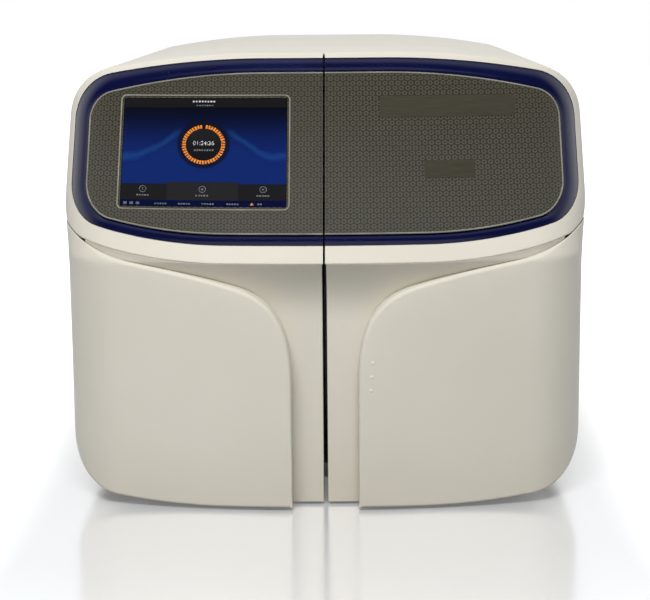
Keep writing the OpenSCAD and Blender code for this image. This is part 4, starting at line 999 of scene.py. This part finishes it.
def digits(text, size, centre):
    curve = bpy.data.curves.new("digits", "FONT")
    curve.body, curve.size, curve.align_x, curve.align_y = text, size, "CENTER", "CENTER"
    curve.extrude = 0.04
    writing = in_scene("digits", curve)
    view = bpy.context.evaluated_depsgraph_get()
    data = bpy.data.meshes.new_from_object(writing.evaluated_get(view))
    bpy.data.objects.remove(writing)
    data.transform(Matrix.Translation((centre[0], centre[1], 0)))
    return data


on_glass("timer_digits", digits("01:24:36", 6.4, (84.3, 71.0)), white_lit, 0.14)


def marks(left, count, pitch, wide, low, high):
    """A row of small blocks, as rectangles on the picture."""
    return [(left + pitch * i, low, left + wide + pitch * i, high) for i in range(count)]


title = [(x, 117.9, x + 1.8, 119.7) for x in (72.0, 75.0, 78.2, 81.2, 84.2, 87.2, 90.2, 93.2)]
on_glass("title_marks", flat_blocks(title), white_lit)
small = marks(76, 7, 2.6, 1.7, 113.6, 115.0) + marks(74.5, 8, 2.6, 1.8, 62.4, 64.3)
for left in (17.0, 77.5, 139.0):
    small += marks(left, 5, 2.7, 1.9, 11.8, 13.4)
for left, n in ((36.0, 5), (60.0, 5), (84.0, 5), (109.0, 5), (140.0, 2)):
    small += marks(left, n, 2.6, 1.8, 2.6, 4.2)
small += marks(3.6, 3, 6.6, 3.6, 2.2, 5.0)
on_glass("status_marks", flat_blocks(small), grey_lit)
on_glass("alert_mark", flat_blocks([(133.0, 2.2, 136.0, 3.6), (133.9, 3.6, 135.1, 4.8)]),
         orange_lit)


def icon_ring(centre, radius, width, n=28):
    points, faces = [], []
    for i in range(n):
        a = 2 * pi * i / n
        for r, z in ((radius, 0), (radius - width, 0), (radius - width, -0.08), (radius, -0.08)):
            points.append((centre[0] + r * cos(a), centre[1] + r * sin(a), z))
    for i in range(n):
        p, q = 4 * i, 4 * ((i + 1) % n)
        faces += [(p + j, q + j, q + (j + 1) % 4, p + (j + 1) % 4) for j in range(4)]
    return plain_mesh("icon_ring", points, [], faces)


for number, place in enumerate((23.2, 84.2, 145.6)):
    on_glass(f"button_icon_{number}", icon_ring((place, 19.6), 3.7, 0.7), grey_lit)
on_glass("button_glyphs", flat_blocks([(22.7, 18.0, 23.7, 21.2), (83.2, 18.6, 85.2, 20.6),
                                       (144.6, 18.9, 146.6, 20.3)]), grey_lit)

# ---- Label fields -------------------------------------------------------------------------
# Two thin bare fields of plain satin film, left empty, laid on the patterned plate of the door.
# They follow the plate's curve and stand a third of a millimetre proud of it.

label_proud = 0.35
label_fields = ((57.0, plate_half - 47.5, plate_z - 44.6, plate_z - 24.1),
                (101.0, plate_half - 91.5, plate_z - 103.1, plate_z - 86.1))


def joined(name, pieces):
    """One mesh piece from several, which are removed."""
    merged = bmesh.new()
    for piece in pieces:
        merged.from_mesh(piece.data)
    data = bpy.data.meshes.new(name)
    merged.to_mesh(data)
    merged.free()
    for piece in pieces:
        bpy.data.objects.remove(piece)
    return in_scene(name, data)


def label_rows(x0, x1, z0, z1):
    def front(x, z, t):
        return plate_front(x, z, 0.0) - label_proud + t

    rows = []
    for x in span(x0, x1, 40):
        a, b = (x, z0), (x, z1)
        rows.append(shell_row(front, a, b, 0.2, 0.2, front(*a, 0.0) + 0.34,
                              front(*b, 0.0) + 0.1, b, (0.25, 0.5, 0.75), 0.3))
    return rows


# Matt grey-olive film with a faint brushed haze.
label_film = toned("label_film", (58, 55, 45), (65, 62, 51), 4.0, (0.42, 0.5),
                   grain=(1400.0, 0.00003), stretch=(8.0, 60.0, 260.0), IOR=1.45)
fields = joined("label_fields", [skin(f"label_{i}", label_rows(*field))
                                 for i, field in enumerate(label_fields)])
dress(fields, label_film, "door", "bare_label", "label_plates")

# ---- Covers behind the front --------------------------------------------------------------
# The crown is one long ivory cover, and two side covers wrap round to the underside. All three
# are moulded with folded edges, and a shadow groove parts them from each other.

cover_wall, rear_d = 2.5, front_d + 8.0
crown_bend = crown_corner(half, crown_r, 24)
cover_split = crown_bend[-1][1]


def crown_edge():
    run = [(x, crown_z(x)) for x in span(0.0, crown_bend[0][0], 60)[:-1]]
    return run + crown_bend + [(half, cover_split - 6)]


def offset_line(line, t):
    """The line moved inwards by t, towards the middle of the body."""
    moved = []
    for i, p in enumerate(line):
        a, b = np.array(line[max(0, i - 1)]), np.array(line[min(len(line) - 1, i + 1)])
        d = (b - a) / np.linalg.norm(b - a)
        moved.append((p[0] + d[1] * t, p[1] - d[0] * t))
    return moved


def cover_rows(line, y_front, y_back, t, r=1.2):
    """Rows across a cover: a folded front edge, the long face and a folded rear edge."""
    inside = offset_line(line, t)
    rows = []
    for p, q in zip(line, inside):
        y0 = y_front(p)
        n = (np.array(q) - np.array(p)) / t

        def at(y, depth):
            s = np.array(p) + n * depth
            return (s[0], y, s[1])

        turn = [radians(90 * i / 5) for i in range(6)]
        outer = [at(y0 + r * (1 - sin(g)), r * (1 - cos(g))) for g in turn[::-1]]
        outer += [at(y, 0) for y in span(y0 + r, y_back - r, 20)[1:-1]]
        outer += [at(y_back - r * (1 - sin(g)), r * (1 - cos(g))) for g in turn]
        inner = [at(lerp(y0, y_back, i / (len(outer) - 1)), t) for i in range(len(outer))]
        rows.append((outer, inner))
    return rows


def crown_front(p):
    return rim_y(p, rear_d, 0.8)


tops = [skin(f"top_{side}", cover_rows(crown_edge(), crown_front, body_d, cover_wall), flipped)
        for side, flipped, _ in halves]
top = joined("top_cover_shell", tops)
dress(top, ivory, "chassis", "pale_shell", "top_cover")

skirt_bend = under_corner(half, skirt_r, ground_gap, 30)
side_line = ([(half, z) for z in span(cover_split - 6.5, skirt_bend[-1][1], 30)[:-1]]
             + skirt_bend[::-1] + [(skirt_bend[0][0] - 10, skirt_bend[0][1] - 1)])
for side, flipped, _ in halves:
    cover = skin(f"side_{side}_shell", cover_rows(side_line, lambda p: rear_d, body_d, cover_wall),
                 flipped)
    dress(cover, ivory, "chassis", "pale_shell", f"side_cover_{side}")

# ---- Status lights ------------------------------------------------------------------------
# Three milky light pipes, pressed into the door wing, their ends domed a little. They stand one
# above the other beside the wing's inner edge.


def turned(name, profile, turns=48):
    """A closed solid turned about Z from radius and height pairs; the first and last are poles."""
    points, faces = [], []
    for r, z in profile[1:-1]:
        points += [(r * cos(2 * pi * i / turns), r * sin(2 * pi * i / turns), z)
                   for i in range(turns)]
    rings = len(profile) - 2
    for j in range(rings - 1):
        faces += [(j * turns + i, j * turns + (i + 1) % turns, (j + 1) * turns + (i + 1) % turns,
                   (j + 1) * turns + i) for i in range(turns)]
    n = len(points)
    points += [(0, 0, profile[0][1]), (0, 0, profile[-1][1])]
    faces += [(n, (i + 1) % turns, i) for i in range(turns)]
    last = (rings - 1) * turns
    faces += [(n + 1, last + i, last + (i + 1) % turns) for i in range(turns)]
    return mesh_piece(name, [tuple(c / 1000 for c in p) for p in points], faces, 40.0)


def placed(piece, place, turn=None):
    """Moves the mesh of a piece, not the object, to a place given in millimetres."""
    shift = Matrix.Translation(Vector(place) / 1000)
    piece.data.transform(shift @ turn if turn else shift)
    return piece


# Translucent white light pipe, unlit, a shade warmer than the wing round it.
milky = toned("milky_plastic", (222, 217, 206), (230, 226, 216), 400.0, (0.25, 0.35), 2.0, IOR=1.49)
pipe = ((0, 7), (1.9, 7), (2.0, 6.8), (2.0, 0.3), (1.8, -0.1), (1.2, -0.35), (0.6, -0.45),
        (0, -0.5))
pipes = []
for i in range(3):
    x, z = 47.5 - 0.9 * i, 152.0 - 14.0 * i
    one = turned(f"pipe_{i}", pipe, 32)
    pipes.append(placed(one, (x, bow(x) - body_d / 2, z), Matrix.Rotation(radians(-90), 4, "X")))
dress(joined("status_light_pipes", pipes), milky, "door", "light_pipe", "status_lights")

# ---- Feet ---------------------------------------------------------------------------------
# Four round feet of black rubber, moulded with a chamfered sole and a ribbed flank. Dust sits
# in the rubber's matt grain.

rubber = toned("black_rubber", (26, 26, 27), (44, 43, 41), 120.0, (0.7, 0.88), 4.0,
               (1500.0, 0.0001), tone=(0.4, 0.8), IOR=1.5)
foot_profile = [(0, 0), (14.5, 0), (16.2, 0.5), (17.2, 1.6), (17.2, 2.4), (16.6, 2.8), (17.2, 3.2),
                (17.2, 4.0), (16.6, 4.4), (17.2, 4.8), (17.6, 6.0), (17.2, 6.8), (14.2, 7.2),
                (13.6, 8.0), (13.6, 12.0), (0, 12.0)]
feet = [placed(turned(f"foot_{x}_{y}", foot_profile), (x, y - body_d / 2, 0))
        for x in (-177, 177) for y in (116, 753)]
dress(joined("rubber_feet", feet), rubber, "chassis", "foot_rubber", "feet")

# ---- Sheet metal of the chassis -----------------------------------------------------------
# Base pan, partition, bulkhead and brackets are folded from zinc-plated steel sheet; the hinge
# parts are plain bright steel.


def carried(names, finish):
    """Gives solids that keep their own shape a finish."""
    for name in names:
        solid = bpy.data.objects[name]
        for slot in solid.material_slots:
            slot.material = finish


def zinc():
    """Zinc-plated sheet: large soft spangles and fine rolling lines."""
    material, where = new_finish("zinc_sheet", Metallic=0.85)
    cells = where.node("TexVoronoi", {"Vector": where, "Scale": 90.0}, out=1)
    grey = where.node("SeparateColor", {0: cells}, out=0)
    lines = where.stretched(4.0, 4.0, 300.0).noise(5.0)
    return feed(material, Base_Color=grey.between(sheen(166, 169, 172), sheen(190, 193, 195)),
                Roughness=(grey * 0.5 + lines * 0.5).ramp(0.2, 0.8, 0.34, 0.5))


bright_steel = brushed("bright_steel", (150, 151, 153), (196, 197, 199), 0.24)
carried(("base_pan", "centre_partition", "front_bulkhead"), zinc())
carried(("door_hinge_leaves", "hinge_brackets", "hinge_pins", "door_strike_plates"), bright_steel)

# ---- Inside mouldings ---------------------------------------------------------------------
# Door liner, left carrier and the compartment tub are off-white structural mouldings. Ribs
# stiffen the liner, which is seen when the door stands open.

inner_white = moulded("inner_white", (205, 204, 197), (218, 217, 211), 0.42)
tray_grey = moulded("tray_grey", (150, 153, 157), (164, 167, 171), 0.38)
deck_grey = moulded("deck_grey", (186, 188, 190), (200, 202, 203), 0.36)
carried(("door_liner", "front_carrier_left", "compartment_liner"), inner_white)
carried(("deck_shelf",), deck_grey)
carried(("cartridge_bay", "bottle_guides", "waste_tray"), tray_grey)


ribs = growth_tree("rib_row", (("Count", "Int"), ("Pitch", "Float"), ("Rib Size", "Vector"),
                               ("Start", "Vector")),
                   {"line": "GeometryNodeMeshLine", "rib": "GeometryNodeMeshCube",
                    "step": "ShaderNodeCombineXYZ", "put": "GeometryNodeInstanceOnPoints"},
                   ("given.Count > line.Count", "given.Start > line.Start Location",
                    "given.Pitch > step.X", "step.Vector > line.Offset",
                    "given.Rib Size > rib.Size", "line.Mesh > put.Points",
                    "rib.Mesh > put.Instance", "put.Instances > real.Geometry"))


def rib_piece(name, count, pitch, size, start, finish, body, slot):
    """A row of ribs; sizes in millimetres, the start is the middle of the first rib."""
    x, y, z = start
    piece = grown(name, ribs, bpy.data.meshes.new(name),
                  {"Count": count, "Pitch": pitch / 1000, "Rib Size": tuple(c / 1000 for c in size),
                   "Start": (x / 1000, (y - body_d / 2) / 1000, z / 1000), "Finish": finish})
    return dress(piece, finish, body, slot)


rib_piece("door_liner_ribs", 7, 30.0, (1.6, 1.6, 150.0), (40.0, 67.7, 128.0), inner_white, "door",
          "inner_moulding")
rib_piece("deck_shelf_grooves", 9, 6.0, (1.2, 80.0, 0.8), (108.0, 212.0, 249.3), deck_grey,
          "chassis", "tray_plastic")

# ---- Door catches -------------------------------------------------------------------------
# Magnets in black holders on the compartment's front edge draw steel strike plates on the
# door. The display's housing is of the same black plastic.

black_plastic = moulded("black_plastic", (24, 25, 27), (33, 34, 36), 0.36, IOR=1.5)
carried(("door_magnets", "display_module"), black_plastic)

# ---- Reagent cartridge --------------------------------------------------------------------
# A white moulded cartridge with twelve wells, each closed by a pressed foil disc. It slides
# into a grey bay and is drawn out by the recessed grip at its front.

cartridge_white = moulded("cartridge_white", (222, 223, 219), (232, 232, 229), 0.34)
carried(("reagent_cartridge",), cartridge_white)
foil = brushed("pressed_foil", (176, 178, 182), (214, 216, 219), 0.22)
foil_profile = [(0, 0), (6.2, 0), (6.2, 0.25), (5.4, 0.45), (4.8, 0.25), (4.2, 0.3), (2.0, 0.3),
                (1.4, 0.5), (0, 0.5)]
foils = []
for i in range(6):
    for k in (0.27, 0.73):
        disc = turned(f"foil_{i}_{k}", foil_profile, 24)
        foils.append(placed(disc, (lerp(14, 70, k), 178 + 20 * i - body_d / 2, 159.0)))
dress(joined("well_foils", foils), foil, "reagent_cartridge_body", "cartridge_plastic")

# ---- Bottles ------------------------------------------------------------------------------
# Blow-moulded translucent bottles with ribbed screw caps, blue for wash and orange for
# cleaning solution. The liquid shows through the wall as a slightly darker level.


def bottle_milk(name, level, top_tone, low_tone):
    """Translucent polythene with the liquid's level showing through it."""
    material, where = new_finish(name, IOR=1.5)
    cloud = where.noise(60.0)
    full = where.axis(2).ramp(level - 0.001, level + 0.001, 1.0, 0.0)
    colour = (full * 0.85).between(sheen(*top_tone), sheen(*low_tone))
    return feed(material, Base_Color=(cloud * 0.12).between(colour, sheen(250, 250, 248)),
                Roughness=cloud.ramp(0.3, 0.7, 0.3, 0.4), Normal=grain_bump(where, 700.0, 0.0001))


carried(("wash_bottle",), bottle_milk("wash_bottle_wall", 0.152, (226, 230, 231),
                                      (196, 208, 214)))
carried(("cleaning_bottle",), bottle_milk("cleaning_bottle_wall", 0.312, (228, 226, 219),
                                          (214, 202, 176)))
blue_cap = moulded("blue_cap", (34, 84, 150), (44, 96, 166), 0.32)
orange_cap = moulded("orange_cap", (196, 92, 34), (208, 104, 44), 0.32)
carried(("wash_cap",), blue_cap)
carried(("cleaning_cap",), orange_cap)

knurl = ring_tree("cap_knurl", False)
for name, cap_r, count, tall, place, finish, body, slot in (
        ("wash_cap_knurl", 19.7, 40, 13.0, (122.0, 156.0, 196.0), blue_cap,
         "wash_bottle_body", "blue_cap"),
        ("cleaning_cap_knurl", 14.7, 32, 11.0, (200.0, 244.0, 339.0), orange_cap,
         "cleaning_bottle_body", "orange_cap")):
    grip = grown(name, knurl, bpy.data.meshes.new(name),
                 {"Ring Radius": cap_r / 1000, "Blocks": count,
                  "Block Size": (0.0014, 0.0011, tall / 1000), "Finish": finish})
    placed(grip, (place[0], place[1] - body_d / 2, place[2] + 1.5 + tall / 2))
    dress(grip, finish, body, slot)

# ---- Waste tank and chip clamp ------------------------------------------------------------
# The waste tank is a translucent moulded can in a grey tray. The chip sits in an anodised
# clamp base, under a lever that turns on a steel pin; three tubes come from the valve block.

carried(("waste_tank",), bottle_milk("waste_tank_wall", 0.08, (224, 222, 212),
                                     (206, 202, 186)))
carried(("chip_clamp_base",), brushed("anodised_dark", (58, 61, 66), (76, 79, 85), 0.34,
                                      0.6))
carried(("chip_clamp_lever",), brushed("anodised_clear", (168, 170, 173),
                                       (194, 196, 199), 0.3))
carried(("clamp_pin",), bright_steel)
carried(("sequencing_chip",), moulded("chip_green", (22, 62, 48), (30, 74, 56), 0.28))
carried(("valve_block",), moulded("valve_cream", (204, 205, 198), (216, 217, 211), 0.34))
carried(("tubing",), moulded("clear_tube", (212, 216, 220), (226, 229, 232), 0.16))
rib_piece("lever_grip_ribs", 7, 3.0, (1.2, 9.0, 0.9), (51.0, 167.0, 290.2),
          brushed("lever_ribs", (160, 162, 165), (190, 192, 195), 0.3), "clamp_lever",
          "clamp_aluminium")

# ---- Rear panel ---------------------------------------------------------------------------
# A flat steel panel, powder-coated light grey, with vents, two fan openings and cut-outs for
# the mains inlet, the rocker switch and the data ports. Pan-head screws hold it and the fans.

rear_grey = moulded("powder_coat", (188, 189, 188), (198, 199, 198), 0.5, 500.0)
carried(("rear_panel",), rear_grey)
rear_y, fan_x, fan_z = body_d - 10.0, half - 144.0, body_h - 202.5


def screw_head():
    """A pan head with a hexagonal socket, made once and placed at every screw."""
    head = turned("pan_head", [(0, 1.0), (2.0, 1.0), (2.0, 2.0), (2.2, 2.2), (2.9, 2.1), (3.3, 1.7),
                               (3.5, 1.1), (3.5, 0), (0, 0)], 48)
    for vertex in head.data.vertices:
        r, a = hypot(vertex.co.x, vertex.co.y) * 1000, atan2(vertex.co.y, vertex.co.x)
        if 1.9 < r < 2.1:
            flat = cos(pi / 6) / cos(a % (pi / 3) - pi / 6)
            vertex.co.x, vertex.co.y = vertex.co.x * flat, vertex.co.y * flat
    head.data.transform(Matrix.Rotation(radians(-90), 4, "X"))
    return head


scatter = growth_tree("placed_parts", (("Points", "Geometry"), ("Part", "Object")),
                      {"part": "GeometryNodeObjectInfo", "put": "GeometryNodeInstanceOnPoints"},
                      ("given.Part > part.Object", "given.Points > put.Points",
                       "part.Geometry > put.Instance", "put.Instances > real.Geometry"))
edge_screws = [(s * x, z) for s in (-1, 1) for x, z in
               ((half - 17, 120), (half - 17, 250), (half - 22, body_h - 80.5),
                (half - 122, body_h - 16.5), (half - 122, 30))]
fan_screws = [(x + sx * 52.5, fan_z + sz * 52.5) for x in (-fan_x, fan_x) for sx in (-1, 1)
              for sz in (-1, 1)]
spots = plain_mesh("screw_spots", [world_point(x, rear_y, z, False)
                                   for x, z in edge_screws + fan_screws], [], [])
head = screw_head()
screws = grown("rear_pan_heads", scatter, spots, {"Part": head, "Finish": bright_steel})
bpy.data.objects.remove(head)
screws.data.shade_smooth()
screws.data.set_sharp_from_angle(angle=radians(35.0))
dress(screws, bright_steel, "chassis", "hinge_steel", "rear_screws")

# ---- Fans ---------------------------------------------------------------------------------
# Two axial fans of black plastic with seven swept blades each, behind bent-wire finger
# guards. The frames, the mains inlet and the rocker's housing are black too.

fan_black = moulded("fan_black", (28, 29, 31), (38, 39, 41), 0.34, 800.0, IOR=1.5)
carried(("fan_frames", "power_inlet", "switch_housing"), black_plastic)
carried(("fan_grilles",), bright_steel)
hub_profile = [(0, -20.5), (17, -20.5), (19.4, -19.6), (20, -18.0), (20, -3.5), (19.2, -2.0),
               (17.0, -1.5), (6.0, -1.5), (5.4, -2.0), (0, -2.0)]


def blade(turn):
    """One swept and twisted blade, from the hub out to the tip, 1.6 mm thick."""
    points, faces, n, m = [], [], 9, 7
    for side in (0, 1):
        for i in range(n):
            r = lerp(19.0, 51.6, i / (n - 1))
            pitch = radians(lerp(52, 30, i / (n - 1)))
            for j in range(m):
                c = lerp(-11.0, 11.0, j / (m - 1))
                bend = 1.4 * (1 - (c / 11.0) ** 2)
                a = turn + (c * cos(pitch) + 0.10 * (r - 19.0)) / r
                y = -11.0 + c * sin(pitch) * 0.82 + bend + (0.8 if side else -0.8)
                points.append((r * cos(a) / 1000, y / 1000, r * sin(a) / 1000))
    k = n * m
    for i in range(n - 1):
        for j in range(m - 1):
            q = i * m + j
            faces += [(q, q + 1, q + m + 1, q + m), (k + q, k + q + m, k + q + m + 1, k + q + 1)]
    rim = ([i * m for i in range(n)] + [(n - 1) * m + j for j in range(1, m)]
           + [i * m + m - 1 for i in range(n - 2, -1, -1)] + list(range(m - 2, 0, -1)))
    faces += [(a, b, k + b, k + a) for a, b in zip(rim, rim[1:] + rim[:1])]
    return mesh_piece("blade", points, faces, 35.0)


for name, x in (("left", -fan_x), ("right", fan_x)):
    hub = turned("hub", hub_profile, 56)
    hub.data.transform(Matrix.Rotation(radians(-90), 4, "X"))
    rotor = joined(f"fan_rotor_{name}_form", [hub] + [blade(2 * pi * i / 7) for i in range(7)])
    placed(rotor, (x, rear_y - 2.2 - body_d / 2, fan_z))
    dress(rotor, fan_black, f"fan_{name}", "black_plastic", f"fan_rotor_{name}")

# ---- Connectors and electronics -----------------------------------------------------------
# Nickel-plated port shells, a black rocker and, inside, the boxed power supply and the main
# board with its heat sink and connectors.

carried(("network_port", "usb_ports"), brushed("nickel", (168, 168, 164),
                                               (200, 200, 196), 0.2))
carried(("rocker_switch",), moulded("rocker_black", (20, 20, 22), (27, 27, 29), 0.22))
carried(("power_supply",), brushed("supply_case", (150, 152, 155), (176, 178, 181), 0.36,
                                   0.8))


def board_green():
    """Green solder mask over a grid of copper tracks."""
    material, where = new_finish("board_green", IOR=1.5)
    y, z, bends = where.axis(1) * 400.0, where.axis(2) * 400.0, where.noise(40.0, 0.0)
    track = ((y + bends * 5.0).part() - 0.5).size().ramp(0.08, 0.14, 1.0, 0.0)
    cross = ((z + bends * 7.0).part() - 0.5).size().ramp(0.06, 0.1, 1.0, 0.0)
    copper = track.most(cross) * 0.6
    return feed(material, Base_Color=copper.between(sheen(18, 70, 44), sheen(60, 118, 74)),
                Roughness=track.ramp(0.0, 1.0, 0.26, 0.36))


carried(("mainboard",), board_green())
